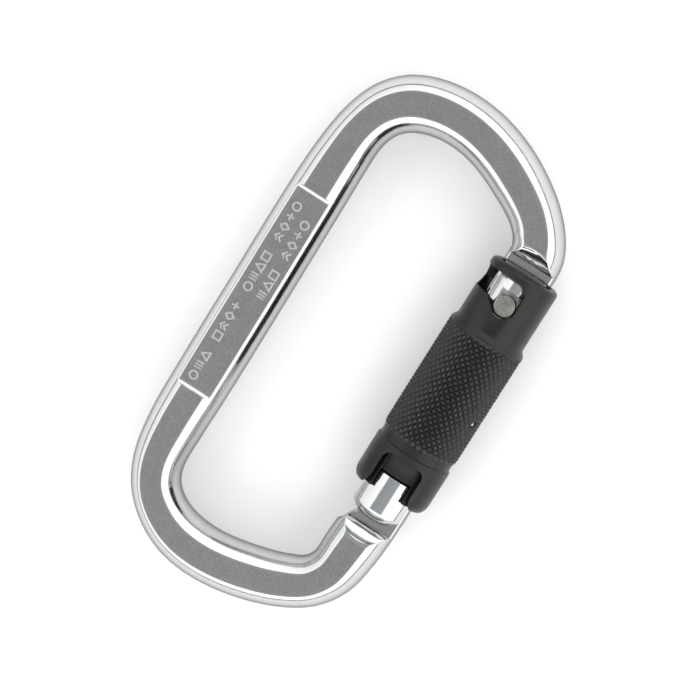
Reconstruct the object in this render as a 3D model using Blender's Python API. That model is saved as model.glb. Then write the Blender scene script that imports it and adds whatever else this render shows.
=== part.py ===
"""Locking carabiner: a bent bar frame, a swinging gate and a three-action locking sleeve.

The carabiner lies flat and closed: +X runs from the spine to the gate, +Y along the gate
towards the nose, and +Z up through the thickness. The origin is the middle of the object.
Driving dimensions are in millimetres, and every mesh is built in metres.
"""

import math

import bmesh
import bpy
from mathutils import Matrix, Vector

MM = 0.001

# Frame bar
BAR_HALF_HEIGHT = 6.25  # of the full oval section, before its front and back are flattened
FLAT_Z = 5.6  # front and back flats along the whole bar
SIDE_STEPS = 8  # facets round each side of the section
STEPS_BETWEEN_STATIONS = 3
SCOOP_STEPS = 4
CUT_REACH = 9.0  # of a cutter, from the middle of what it cuts
CUT_MARGIN = 3.0  # of a cutter, past the face that it cuts
# x, y and width of the bar along its middle line, from the hinge end round the spine to the nose
STATIONS = [
    (20.9, -12.0, 11.8),
    (20.9, -28.0, 11.8),
    (20.5, -34.5, 11.6),
    (19.9, -39.5, 10.9),
    (17.3, -43.9, 10.6),
    (12.7, -46.9, 11.0),
    (5.8, -49.5, 11.4),
    (-3.0, -51.2, 11.35),
    (-10.1, -50.8, 11.1),
    (-15.5, -48.7, 10.5),
    (-19.8, -45.0, 10.2),
    (-22.2, -39.9, 10.6),
    (-23.0, -32.6, 11.6),
    (-23.1, -24.4, 12.1),
    (-23.1, 0.0, 12.2),
    (-23.1, 24.4, 12.0),
    (-22.9, 32.8, 11.5),
    (-22.2, 39.5, 10.9),
    (-20.0, 45.0, 11.2),
    (-16.3, 48.6, 11.6),
    (-10.5, 50.8, 11.5),
    (-3.8, 51.2, 11.4),
    (2.8, 49.9, 11.4),
    (9.4, 47.1, 11.3),
    (15.6, 43.3, 10.6),
    (19.1, 39.7, 10.5),
    (20.7, 36.4, 11.0),
    (20.9, 33.5, 11.1),
    (20.9, 30.5, 11.1),
]

# Marking plates: deeper flats on the spine, front and back
PLATE_X = -23.1
PLATE_Z = 4.84
PLATE_Y = (-23.5, 23.9)
PLATE_RAMP = 1.1  # length of the scoop at each end

# Gate and its hinge
AXIS_X = 20.9  # axis of the gate and the sleeve, parallel to Y
PIVOT_Y = -19.9
EAR_RADIUS = 6.05
# Rounded end of the ears, as (radius, y)
EAR_END = [(0, -26.0), (3.3, -26.0), (4.2, -25.8), (5.1, -25.1), (5.75, -24.3), (6.0, -23.8)]
GATE_RADIUS = 5.2
EAR_SHOULDER_Y = -15.8
GATE_TOP_Y = 31.0
HINGE_PIN_RADIUS = 1.8
HINGE_PIN_HALF_LENGTH = 5.2
GAP = 0.3  # between pieces that touch
OPEN_DEG = 27.0

# Hinge tongue of the frame, and the slot for it in the gate. A shoulder falls from the bar's flat
# to the tongue, over a rounded lip and a bulging step: y where the flat ends, y and z of the lip
# and of the step's two ends, and y of its foot.
TONGUE_HALF = 2.5
HINGE_SHOULDER = dict(
    flat_end=-31.4, lip=(-30.5, 5.35), step=((-30.4, 5.05), (-27.65, 3.3)), foot=-27.4
)
TONGUE_START_Y = -9.0
TONGUE_SIDE_X = 6.6  # outer side, straight below the hinge, from the gate's axis
# The tongue's inner side from the bar to the cam, as x and y from the hinge axis
TONGUE_NECK = [
    (-6.3, -10.2),
    (-5.6, -9.2),
    (-4.6, -8.5),
    (-3.7, -7.0),
    (-3.4, -5.5),
    (-3.4, -3.0),
    (-4.2, 1.0),
]
SLOT_TOP_Y = -13.0
HEAD_RADIUS = 5.9

# Plunger and the cam that lifts it
TIP_RADIUS = 1.3
PLUNGER_RADIUS = 1.5
PLUNGER_TOP_Y = -7.0
BORE_RADIUS = 1.8
BORE_TOP_Y = 4.3
TIP_HEIGHT = 6.5  # of the tip's centre above the hinge axis, with the gate closed
LIFT = 1.2  # of the plunger over the gate's whole swing
CAM_DEG = (-15, 45)
CAM_STEPS = 12

# Nose, gate head and the latch blade between them; the arcs are about the hinge axis
NOSE_HALF = 2.7
NOSE_SHOULDER = dict(
    flat_end=37.7, lip=(37.3, 5.5), step=((37.2, 5.3), (34.65, 3.4)), foot=34.4
)
NOSE_START_Y = 27.0
NOSE_ARC = 52.85
HEAD_ARC = NOSE_ARC - GAP
HEAD_HALF_WIDTH = 4.7
HEAD_ROOT_Y = 29.0
BLADE_HALF = 1.2
BLADE_X = (-1.6, 1.2)  # the blade's neck, from the gate's axis
HOOK_X = 3.0  # the hook's tip
HOOK_ARCS = (54.6, 56.0)
BLADE_ROOT_Y = 29.5
KEYWAY_ROOT_ARC = 49.85

# Locking sleeve
COLLAR_RADIUS = 7.54
KNURL_RADIUS = 8.37
NECK_RADIUS = 7.97
SLEEVE_TOP_Y = 32.2
SLEEVE_FOOT_Y = -20.0
TOP_BORE = 5.75
KEYED_BORE = 6.5
FOOT_BORE = 7.2
FOOT_BORE_TOP_Y = -6.6
CHAMBER_RADIUS = 7.1
CHAMBER_Y = (-1.5, 17.0)
SLIDE = 2.9
TURN_DEG = 90.0
TURN_STEPS = 48

# Window in the sleeve's upper collar, and the guide pin that stands in it
WINDOW_Y = 27.9  # middle of the window's long arm
GUIDE_PIN_Y = WINDOW_Y - SLIDE
GUIDE_PIN_RADIUS = 2.2
WINDOW_HALF = GUIDE_PIN_RADIUS + GAP
GUIDE_HEAD_TOP = 7.0
GUIDE_SHANK_RADIUS = 1.1
GUIDE_SHANK_END_Z = 0.8
PIN_SEAT_Z = 4.6  # flat milled on the gate under the pin's head
PIN_SEAT_Y = (22.55, 27.9)
ARM_START_DEG = 32.0
ARM_STEPS = 7
RELIEF_RADIUS = 7.22  # hidden undercut below the window's arm, which clears the pin's head
RELIEF_MARGIN_DEG = 26
RELIEF_STEPS = 12
WINDOW_CUT_RADII = (4.8, 9.0)

# Notches in the sleeve's foot, front and back
NOTCH_TOP_Y = -11.5
NOTCH_HALF = 4.55
NOTCH_CORNER = 1.9
NOTCH_FLARE = [(0, -17.6), (0.3, -18.9), (1.2, -20.4)]  # widening of its sides, and y

# Guide bush, thrust washer, key pin and springs
BUSH_RADII = (5.5, 6.15)
BUSH_TOP_Y = 3.6
SKIRT_RADII = (6.35, 6.9)
SKIRT_Y = (-19.6, -10.0)
SKIRT_NOTCH_HALF = 3.55
SKIRT_NOTCH_TOP_Y = -15.5
WASHER_RADII = (5.5, 6.8)
WASHER_Y = (3.9, 4.6)
KEY_PIN_Y = 1.4
KEY_PIN_DEG = 62.6  # from the front, towards +X
KEY_PIN_RADIUS = 0.6
KEY_PIN_SPAN = (5.75, 8.2)  # radii of its ends
KEY_GROOVE_SPAN = (4.8, 7.0)
SLEEVE_SPRING = dict(radius=6.3, wire=0.45, low=4.9, high=16.7, turns=6)
GATE_SPRING = dict(radius=1.15, wire=0.25, low=-6.7, high=4.0, turns=10)
SPRING_STEPS = 12  # points in each turn
COIL_CLEARANCE = 0.1  # between the closed end turns

UP = Vector((0, 0, 1))
ALONG = Vector((0, 1, 0))


def material(name, colour, metallic, roughness):
    made = bpy.data.materials.new(name)
    made.use_nodes = True
    shader = made.node_tree.nodes["Principled BSDF"]
    shader.inputs["Base Color"].default_value = (*colour, 1)
    shader.inputs["Metallic"].default_value = metallic
    shader.inputs["Roughness"].default_value = roughness
    made.diffuse_color = (*colour, 1)
    return made


def add_object(name, bm, finish=None, matrix=None):
    """A named object from a closed bmesh in metres, placed by a matrix."""
    bmesh.ops.recalc_face_normals(bm, faces=bm.faces)
    mesh = bpy.data.meshes.new(name)
    bm.to_mesh(mesh)
    bm.free()
    mesh.shade_smooth()
    mesh.set_sharp_from_angle(angle=math.radians(32))
    made = bpy.data.objects.new(name, mesh)
    made.matrix_world = matrix or Matrix.Identity(4)
    bpy.context.collection.objects.link(made)
    if finish:
        mesh.materials.append(finish)
    return made


def as_guide(guide):
    """A cutter or an added shape, which isn't a piece of the carabiner."""
    guide.hide_render = True
    guide.display_type = "WIRE"
    return guide


def shape_with(piece, guide, operation="DIFFERENCE"):
    change = piece.modifiers.new(guide.name, "BOOLEAN")
    change.object = as_guide(guide)
    change.operation = operation
    change.solver = "EXACT"


def arc(centre, radius, start_deg, end_deg, steps):
    """Points on an arc, with angles counted from +X towards +Y."""
    angles = [
        math.radians(start_deg + (end_deg - start_deg) * i / steps)
        for i in range(steps + 1)
    ]
    return [
        (centre[0] + radius * math.cos(a), centre[1] + radius * math.sin(a))
        for a in angles
    ]


def prism(name, outline, low, high, across="Z"):
    """An outline pushed from low to high across Z, with the outline in x and y, or across X,
    with it in y and z."""
    bm = bmesh.new()
    if across == "Z":
        corners = [Vector((a, b, low)) * MM for a, b in outline]
        push = UP * (high - low) * MM
    else:
        corners = [Vector((low, a, b)) * MM for a, b in outline]
        push = Vector((high - low, 0, 0)) * MM
    face = bm.faces.new([bm.verts.new(c) for c in corners])
    grown = bmesh.ops.extrude_face_region(bm, geom=[face])["geom"]
    moved = [g for g in grown if isinstance(g, bmesh.types.BMVert)]
    bmesh.ops.translate(bm, verts=moved, vec=push)
    return add_object(name, bm)


def cut_across(name, x, outline):
    """A cutter pushed right across the bar or the gate, with its outline in y and z."""
    return prism(name, outline, x - CUT_REACH, x + CUT_REACH, "X")


def cut_through(name, outline):
    """A cutter pushed right through the thickness, with its outline in x and y."""
    return prism(name, outline, -CUT_REACH, CUT_REACH)


def turned(name, profile, foot, direction, finish=None, steps=24):
    """A profile of (radius, height) turned round a line from foot along direction. An open
    profile starts and ends on that line, and a closed one stays clear of it."""
    bm = bmesh.new()
    points = [bm.verts.new(Vector((r, 0, h)) * MM) for r, h in profile]
    pairs = list(zip(points, points[1:]))
    if profile[0][0] > 0:
        pairs.append((points[-1], points[0]))
    edges = [bm.edges.new(pair) for pair in pairs]
    bmesh.ops.spin(
        bm,
        geom=points + edges,
        axis=UP,
        cent=(0, 0, 0),
        angle=math.tau,
        steps=steps,
        use_merge=True,
    )
    bmesh.ops.remove_doubles(bm, verts=bm.verts, dist=1e-7)
    turn = UP.rotation_difference(direction).to_matrix().to_4x4()
    place = Matrix.Translation(Vector(foot) * MM)
    return add_object(name, bm, finish, place @ turn)


def rod(name, radius, low, high, foot, direction, finish=None, steps=24):
    profile = [(0, low), (radius, low), (radius, high), (0, high)]
    return turned(name, profile, foot, direction, finish, steps)


def tube(name, radii, span, finish):
    """A plain tube round the gate's axis."""
    inner, outer = radii
    low, high = span
    profile = [(outer, high), (outer, low), (inner, low), (inner, high)]
    return turned(name, profile, (AXIS_X, 0, 0), ALONG, finish, TURN_STEPS)


def smooth_stations():
    """The bar's stations with the points of a Catmull-Rom curve between them."""
    known = [Vector(s) for s in STATIONS]
    known = [2 * known[0] - known[1], *known, 2 * known[-1] - known[-2]]
    points = []
    for a, b, c, d in zip(known, known[1:], known[2:], known[3:]):
        knots = [0.0]
        for p, q in ((a, b), (b, c), (c, d)):
            knots.append(knots[-1] + (q.xy - p.xy).length ** 0.5)
        for i in range(STEPS_BETWEEN_STATIONS):
            t = knots[1] + (knots[2] - knots[1]) * i / STEPS_BETWEEN_STATIONS
            points.append(catmull_rom((a, b, c, d), knots, t))
    return points + [known[-2]]


def catmull_rom(points, knots, t):
    level = list(points)
    for reach in (1, 2, 3):
        level = [
            p.lerp(q, (t - knots[i]) / (knots[i + reach] - knots[i]))
            for i, (p, q) in enumerate(zip(level, level[1:]))
        ]
    return level[0]


def bar_section(width):
    """One ring of the bar: sideways and upwards distances round an oval with two flats."""
    lift = math.asin(FLAT_Z / BAR_HALF_HEIGHT)
    ring = []
    for side in (0, math.pi):
        for i in range(SIDE_STEPS + 1):
            angle = side - lift + 2 * lift * i / SIDE_STEPS
            across = width / 2 * math.cos(angle)
            ring.append((across, BAR_HALF_HEIGHT * math.sin(angle)))
    return ring


def frame_loft(finish):
    """The frame's bar as it is bent, before its ends and plates are cut."""
    bm = bmesh.new()
    path = smooth_stations()
    rings = []
    for i, here in enumerate(path):
        ahead = path[min(i + 1, len(path) - 1)] - path[max(i - 1, 0)]
        sideways = Vector((ahead.y, -ahead.x, 0)).normalized()
        centre = Vector((here.x, here.y, 0))
        rings.append(
            [
                bm.verts.new((centre + sideways * across + UP * up) * MM)
                for across, up in bar_section(here.z)
            ]
        )
    for ring, following in zip(rings, rings[1:]):
        for j, corner in enumerate(ring):
            k = (j + 1) % len(ring)
            bm.faces.new((corner, ring[k], following[k], following[j]))
    bm.faces.new(rings[0])
    bm.faces.new(rings[-1])
    return add_object("frame_bar", bm, finish)


def hollow(start, foot, steps):
    """Points of a hollow arc from start down to foot, where it runs out flat. Points are
    (y, z), and the arc can run either way along y."""
    run, rise = abs(start[0] - foot[0]), start[1] - foot[1]
    radius = (run**2 + rise**2) / (2 * rise)
    way = math.copysign(1, start[0] - foot[0])
    sweep = math.asin(min(run / radius, 1))
    angles = [sweep * (1 - i / steps) for i in range(steps + 1)]
    return [
        (foot[0] + way * radius * math.sin(a), foot[1] + radius * (1 - math.cos(a)))
        for a in angles
    ]


def bulge(start, end, steps):
    """Points of a bulging arc that leaves start level and falls to end."""
    upside_down = hollow((end[0], start[1]), (start[0], end[1]), steps)
    return [(y, start[1] + end[1] - z) for y, z in reversed(upside_down)]


def shoulder_cutter(name, flat_end, lip, step, foot, half, far_y, side):
    """Cuts the bar from its flat over a rounded lip and a bulging step to a tongue."""
    top = FLAT_Z + CUT_MARGIN
    outline = [(flat_end, top), *bulge((flat_end, FLAT_Z), lip, 3), *bulge(*step, 7)]
    outline += [(foot, half), (far_y, half), (far_y, top)]
    return cut_across(name, AXIS_X, [(y, side * z) for y, z in outline])


def plate_cutter(name, side):
    """Cuts a marking plate into the spine, with a scoop at each end."""
    low, high = PLATE_Y
    top = FLAT_Z + CUT_MARGIN
    scoop = hollow((0, FLAT_Z), (PLATE_RAMP, PLATE_Z), SCOOP_STEPS)
    outline = [(low, top)]
    outline += [(low + y, z) for y, z in scoop]
    outline += [(high - y, z) for y, z in reversed(scoop)]
    outline.append((high, top))
    return cut_across(name, PLATE_X, [(y, side * z) for y, z in outline])


def cam_outline():
    """The tongue's top, which keeps a round plunger tip one gap away while it is lifted
    evenly. Angles run from the gate's axis towards the spine."""
    swing = math.radians(OPEN_DEG)
    points = []
    for i in range(CAM_STEPS + 1):
        angle = math.radians(CAM_DEG[0] + (CAM_DEG[1] - CAM_DEG[0]) * i / CAM_STEPS)
        climb = LIFT / swing if 0 < angle < swing else 0
        height = TIP_HEIGHT + LIFT * min(max(angle / swing, 0), 1)
        outward = Vector((-math.sin(angle), math.cos(angle)))
        onward = Vector((-math.cos(angle), -math.sin(angle)))
        normal = (outward * height - onward * climb).normalized()
        points.append(outward * height - normal * (TIP_RADIUS + GAP))
    return points


def tongue_cutter():
    """Leaves the hinge tongue: a cam on top, a straight outer side and a neck that curves
    out to the bar's inner side."""
    far = HEAD_RADIUS + CUT_REACH
    cam = [tuple(p) for p in reversed(cam_outline())]
    outer_side = arc((0, 0), HEAD_RADIUS, 50, 0, 6) + [(TONGUE_SIDE_X, -CUT_MARGIN)]
    outline = [(-far, TONGUE_NECK[0][1]), *TONGUE_NECK, *cam, *outer_side]
    outline += [(far, -CUT_MARGIN), (far, far), (-far, far)]
    return cut_through("tongue_cutter", [(AXIS_X + x, PIVOT_Y + y) for x, y in outline])


def on_hinge_arc(radius, x):
    """The point of an arc about the hinge axis that lies x from the gate's axis."""
    return (AXIS_X + x, PIVOT_Y + math.sqrt(radius**2 - x**2))


def hinge_arc(radius, x_from, x_to, steps=6):
    return [
        on_hinge_arc(radius, x_from + (x_to - x_from) * i / steps)
        for i in range(steps + 1)
    ]


def nose_end_cutter():
    outline = hinge_arc(NOSE_ARC, -CUT_REACH, CUT_REACH)
    outline += [(AXIS_X + CUT_REACH, NOSE_START_Y), (AXIS_X - CUT_REACH, NOSE_START_Y)]
    return cut_through("nose_end_cutter", outline)


def keyway_cutter():
    """The hooked slot in the nose that the gate's blade swings out of, towards the spine."""
    outline = [
        *hinge_arc(HOOK_ARCS[1] + GAP, -CUT_REACH, HOOK_X + GAP),
        *hinge_arc(HOOK_ARCS[0] - GAP, HOOK_X + GAP, BLADE_X[1] + GAP, 3),
        on_hinge_arc(KEYWAY_ROOT_ARC, BLADE_X[1] + GAP),
        on_hinge_arc(KEYWAY_ROOT_ARC, -CUT_REACH),
    ]
    return prism("keyway_cutter", outline, -BLADE_HALF - GAP, BLADE_HALF + GAP)


def hinge_hole(name):
    foot = (AXIS_X, PIVOT_Y, 0)
    return rod(name, HINGE_PIN_RADIUS + GAP, -CUT_REACH, CUT_REACH, foot, UP)


def build_frame(finish):
    frame = frame_loft(finish)
    for side, label in ((1, "front"), (-1, "back")):
        hinge = dict(HINGE_SHOULDER, half=TONGUE_HALF, far_y=TONGUE_START_Y, side=side)
        nose = dict(NOSE_SHOULDER, half=NOSE_HALF, far_y=NOSE_START_Y, side=side)
        shape_with(frame, shoulder_cutter(f"hinge_shoulder_{label}", **hinge))
        shape_with(frame, shoulder_cutter(f"nose_shoulder_{label}", **nose))
        shape_with(frame, plate_cutter(f"plate_{label}", side))
    shape_with(frame, tongue_cutter())
    shape_with(frame, nose_end_cutter())
    shape_with(frame, keyway_cutter())
    shape_with(frame, hinge_hole("tongue_hole"))


def gate_head():
    """The gate's flattened head and its hooked latch blade."""
    head = hinge_arc(HEAD_ARC, -HEAD_HALF_WIDTH, HEAD_HALF_WIDTH)
    head += [(AXIS_X + HEAD_HALF_WIDTH, HEAD_ROOT_Y), (AXIS_X - HEAD_HALF_WIDTH, HEAD_ROOT_Y)]
    blade = [
        *hinge_arc(HOOK_ARCS[1], BLADE_X[0], HOOK_X),
        *hinge_arc(HOOK_ARCS[0], HOOK_X, BLADE_X[1], 2),
        (AXIS_X + BLADE_X[1], BLADE_ROOT_Y),
        (AXIS_X + BLADE_X[0], BLADE_ROOT_Y),
    ]
    return (
        prism("head_block", head, -NOSE_HALF, NOSE_HALF),
        prism("latch_blade", blade, -BLADE_HALF, BLADE_HALF),
    )


def gate_profile():
    """Half the gate's outline from its round foot to its top, as (radius, height)."""
    shoulder, top = EAR_SHOULDER_Y - PIVOT_Y, GATE_TOP_Y - PIVOT_Y
    return [
        *[(radius, y - PIVOT_Y) for radius, y in EAR_END],
        (EAR_RADIUS, EAR_END[-1][1] - PIVOT_Y + 0.4),
        (EAR_RADIUS, shoulder - 0.3),
        (GATE_RADIUS, shoulder),
        (GATE_RADIUS, top - 0.6),
        (GATE_RADIUS - 0.6, top),
        (0, top),
    ]


def gate_box_cutter(name, low, high):
    """A box right across the gate, between two corners given as (y, z)."""
    return cut_across(name, AXIS_X, [low, (high[0], low[1]), high, (low[0], high[1])])


def build_gate(finish):
    """The gate's bar, turned about its own axis with its origin on the hinge axis."""
    gate = turned("gate_bar", gate_profile(), (AXIS_X, PIVOT_Y, 0), ALONG, finish, 32)
    for added in gate_head():
        shape_with(gate, added, "UNION")
    slot_half = TONGUE_HALF + GAP
    slot_foot = EAR_END[0][1] - CUT_MARGIN
    slot = gate_box_cutter("tongue_slot", (slot_foot, -slot_half), (SLOT_TOP_Y, slot_half))
    seat = gate_box_cutter("pin_seat", (PIN_SEAT_Y[0], PIN_SEAT_Z), (PIN_SEAT_Y[1], CUT_REACH))
    bore_foot = (AXIS_X, 0, 0)
    bore = rod("plunger_bore", BORE_RADIUS, SLOT_TOP_Y - 1, BORE_TOP_Y, bore_foot, ALONG)
    shank_foot = (AXIS_X, GUIDE_PIN_Y, 0)
    shank_end = GUIDE_SHANK_END_Z - GAP
    shank = rod("guide_pin_hole", GUIDE_SHANK_RADIUS + GAP, shank_end, CUT_REACH, shank_foot, UP)
    for cutter in (slot, seat, bore, hinge_hole("ear_hole"), shank):
        shape_with(gate, cutter)


def build_hinge_pin(finish):
    half, rim, drop = HINGE_PIN_HALF_LENGTH, HINGE_PIN_RADIUS - 0.5, 0.2
    profile = [
        (0, half),
        (rim, half),
        (HINGE_PIN_RADIUS, half - drop),
        (HINGE_PIN_RADIUS, drop - half),
        (rim, -half),
        (0, -half),
    ]
    turned("hinge_pin", profile, (AXIS_X, PIVOT_Y, 0), UP, finish)


def build_plunger(finish):
    """A round-nosed pin that rides on the frame's cam. Its origin is its tip's centre."""
    tip = [(0, -TIP_RADIUS), *arc((0, 0), TIP_RADIUS, -75, 0, 5)]
    top = PLUNGER_TOP_Y - PIVOT_Y - TIP_HEIGHT
    body = [(PLUNGER_RADIUS, 0.3), (PLUNGER_RADIUS, top - 0.3), (PLUNGER_RADIUS - 0.3, top)]
    foot = (AXIS_X, PIVOT_Y + TIP_HEIGHT, 0)
    turned("gate_plunger", tip + body + [(0, top)], foot, ALONG, finish, 16)


def build_guide_pin(finish):
    """A button-headed pin whose domed head stands in the sleeve's window."""
    seat = PIN_SEAT_Z + GAP
    dome = [(0, GUIDE_HEAD_TOP)]
    for share in (0.4, 0.7, 0.9, 1.0):
        drop = (share * GUIDE_PIN_RADIUS) ** 2 / (2 * GUIDE_HEAD_TOP)
        dome.append((share * GUIDE_PIN_RADIUS, GUIDE_HEAD_TOP - drop))
    profile = dome + [
        (GUIDE_PIN_RADIUS, seat),
        (GUIDE_SHANK_RADIUS, seat),
        (GUIDE_SHANK_RADIUS, GUIDE_SHANK_END_Z),
        (0, GUIDE_SHANK_END_Z),
    ]
    turned("guide_pin", profile, (AXIS_X, GUIDE_PIN_Y, 0), UP, finish)


def sleeve_profile():
    """The sleeve's section, down its outer side from the top and up its bore."""
    top = [(6.2, SLEEVE_TOP_Y), (6.9, SLEEVE_TOP_Y - 0.12)]
    top += [(7.35, SLEEVE_TOP_Y - 0.5), (COLLAR_RADIUS, SLEEVE_TOP_Y - 1.0)]
    outside = [
        (COLLAR_RADIUS, 18.6),
        (KNURL_RADIUS, 17.4),
        (KNURL_RADIUS, -7.3),
        (NECK_RADIUS, -8.5),
        (NECK_RADIUS, -10.0),
        (KNURL_RADIUS, -10.3),
        (KNURL_RADIUS, -18.3),
        (KNURL_RADIUS - 0.4, -19.4),
        (KNURL_RADIUS - 0.8, SLEEVE_FOOT_Y),
    ]
    inside = [
        (FOOT_BORE + 0.15, SLEEVE_FOOT_Y),
        (FOOT_BORE, -19.7),
        (FOOT_BORE, FOOT_BORE_TOP_Y),
        (KEYED_BORE, FOOT_BORE_TOP_Y + 0.4),
        (KEYED_BORE, CHAMBER_Y[0]),
        (CHAMBER_RADIUS, CHAMBER_Y[0] + 0.5),
        (CHAMBER_RADIUS, CHAMBER_Y[1]),
        (TOP_BORE, CHAMBER_Y[1]),
        (TOP_BORE, SLEEVE_TOP_Y - 0.3),
    ]
    return top + outside + inside


def wrapped_cutter(name, stations, inner, outer):
    """A solid wrapped round the sleeve's axis. Each station gives an angle from the front
    towards the spine, a sideways offset from it, and the lowest and highest y there."""
    bm = bmesh.new()
    rings = []
    for angle, offset, low, high in stations:
        corners = ((inner, low), (outer, low), (outer, high), (inner, high))
        ring = []
        for radius, y in corners:
            turn = angle + math.asin(offset / radius)
            across, up = -radius * math.sin(turn), radius * math.cos(turn)
            ring.append(bm.verts.new(Vector((AXIS_X + across, y, up)) * MM))
        rings.append(ring)
    for ring, following in zip(rings, rings[1:]):
        for j, corner in enumerate(ring):
            k = (j + 1) % 4
            bm.faces.new((corner, ring[k], following[k], following[j]))
    bm.faces.new(rings[0])
    bm.faces.new(rings[-1])
    return add_object(name, bm)


def window_stations():
    """The L-shaped window: a pocket for the guide pin in front, and an arm a quarter turn
    long, with round ends and parallel walls of the pin's size."""
    stations = []
    for share in (-0.995, -0.92, -0.75, -0.5, -0.25, 0, 0.25, 0.5, 0.75, 0.92):
        half = WINDOW_HALF * math.sqrt(1 - share**2)
        low = GUIDE_PIN_Y - half
        high = WINDOW_Y + half
        if share > 0:
            low = min(low, WINDOW_Y - WINDOW_HALF)
            high = WINDOW_Y + WINDOW_HALF
        stations.append((0, share * WINDOW_HALF, low, high))
    for i in range(ARM_STEPS + 1):
        angle = math.radians(ARM_START_DEG + (TURN_DEG - ARM_START_DEG) * i / ARM_STEPS)
        stations.append((angle, 0, WINDOW_Y - WINDOW_HALF, WINDOW_Y + WINDOW_HALF))
    for share in (0.25, 0.5, 0.75, 0.92, 0.995):
        half = WINDOW_HALF * math.sqrt(1 - share**2)
        end = (math.radians(TURN_DEG), share * WINDOW_HALF)
        stations.append((*end, WINDOW_Y - half, WINDOW_Y + half))
    return stations


def relief_stations():
    """The band that the guide pin's head can sweep below the window's arm."""
    low = GUIDE_PIN_Y - WINDOW_HALF - 0.1
    high = GUIDE_PIN_Y + WINDOW_HALF
    sweep = TURN_DEG + 2 * RELIEF_MARGIN_DEG
    return [
        (math.radians(sweep * i / RELIEF_STEPS - RELIEF_MARGIN_DEG), 0, low, high)
        for i in range(RELIEF_STEPS + 1)
    ]


def notch_outline():
    """Round corners at the top, straight sides, and a mouth that flares."""
    corner = (NOTCH_HALF - NOTCH_CORNER, NOTCH_TOP_Y - NOTCH_CORNER)
    right = arc(corner, NOTCH_CORNER, 90, 0, 5)
    right += [(NOTCH_HALF + wider, y) for wider, y in NOTCH_FLARE]
    left = [(-x, y) for x, y in reversed(right)]
    return [(AXIS_X + x, y) for x, y in right + left]


def key_pin_direction():
    turn = math.radians(KEY_PIN_DEG)
    return Vector((math.sin(turn), 0, math.cos(turn)))


def build_sleeve(finish):
    on_axis = (AXIS_X, 0, 0)
    sleeve = turned("locking_sleeve", sleeve_profile(), on_axis, ALONG, finish, TURN_STEPS)
    inner, outer = WINDOW_CUT_RADII
    shape_with(sleeve, wrapped_cutter("window_cutter", window_stations(), inner, outer))
    shape_with(sleeve, wrapped_cutter("pin_relief", relief_stations(), inner, RELIEF_RADIUS))
    shape_with(sleeve, cut_through("notch_cutter", notch_outline()))
    key_foot, key_hole = (AXIS_X, KEY_PIN_Y, 0), KEY_PIN_RADIUS + GAP
    shape_with(
        sleeve,
        rod("key_pin_hole", key_hole, inner, CUT_REACH, key_foot, key_pin_direction(), steps=12),
    )


def build_bush(finish):
    """The bush that the sleeve is keyed to: they turn together, and the sleeve slides on it.
    Its skirt hangs round the gate's ears, with a notch in front and at the back."""
    inner, outer = BUSH_RADII
    skirt_inner, skirt_outer = SKIRT_RADII
    foot, shoulder = SKIRT_Y
    profile = [
        (outer, BUSH_TOP_Y),
        (outer, shoulder + 0.4),
        (skirt_outer, shoulder),
        (skirt_outer, foot),
        (skirt_inner, foot),
        (skirt_inner, SKIRT_NOTCH_TOP_Y),
        (inner, SKIRT_NOTCH_TOP_Y),
        (inner, BUSH_TOP_Y),
    ]
    bush = turned("guide_bush", profile, (AXIS_X, 0, 0), ALONG, finish, TURN_STEPS)
    half, low, high = SKIRT_NOTCH_HALF, foot - CUT_MARGIN, SKIRT_NOTCH_TOP_Y + 0.01
    notch = [(-half, low), (half, low), (half, high), (-half, high)]
    shape_with(bush, cut_through("skirt_notch", [(AXIS_X + x, y) for x, y in notch]))
    reach = KEY_PIN_RADIUS + GAP
    low = KEY_PIN_Y - SLIDE - reach
    high = KEY_PIN_Y + reach
    outline = [(-reach, low), (reach, low), (reach, high), (-reach, high)]
    groove = prism("key_groove", outline, *KEY_GROOVE_SPAN)
    turn = Matrix.Rotation(math.radians(KEY_PIN_DEG), 4, "Y")
    groove.matrix_world = Matrix.Translation((AXIS_X * MM, 0, 0)) @ turn
    shape_with(bush, groove)


def build_key_pin(finish):
    low, high = KEY_PIN_SPAN
    foot = (AXIS_X, KEY_PIN_Y, 0)
    rod("sleeve_key_pin", KEY_PIN_RADIUS, low, high, foot, key_pin_direction(), finish, 12)


def coil(name, finish, radius, wire, low, high, turns):
    """A compression spring round the gate's axis, with its end turns closed up."""
    count = SPRING_STEPS * turns
    curve = bpy.data.curves.new(name, "CURVE")
    curve.dimensions = "3D"
    curve.bevel_depth = wire * MM
    curve.bevel_resolution = 1
    curve.use_fill_caps = True
    spline = curve.splines.new("POLY")
    spline.points.add(count)
    closed = 2 * wire + COIL_CLEARANCE
    middle_rise = (high - low - 2 * wire - 2 * closed) / (turns - 2)
    for i in range(count + 1):
        turned_by = i / SPRING_STEPS
        first = min(turned_by, 1) * closed
        middle = min(max(turned_by - 1, 0), turns - 2) * middle_rise
        last = max(turned_by - turns + 1, 0) * closed
        y = low + wire + first + middle + last
        angle = math.tau * turned_by
        x, z = radius * math.cos(angle), radius * math.sin(angle)
        spline.points[i].co = (x * MM, y * MM, z * MM, 1)
    made = bpy.data.objects.new(name, curve)
    made.location = (AXIS_X * MM, 0, 0)
    curve.materials.append(finish)
    bpy.context.collection.objects.link(made)


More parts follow.
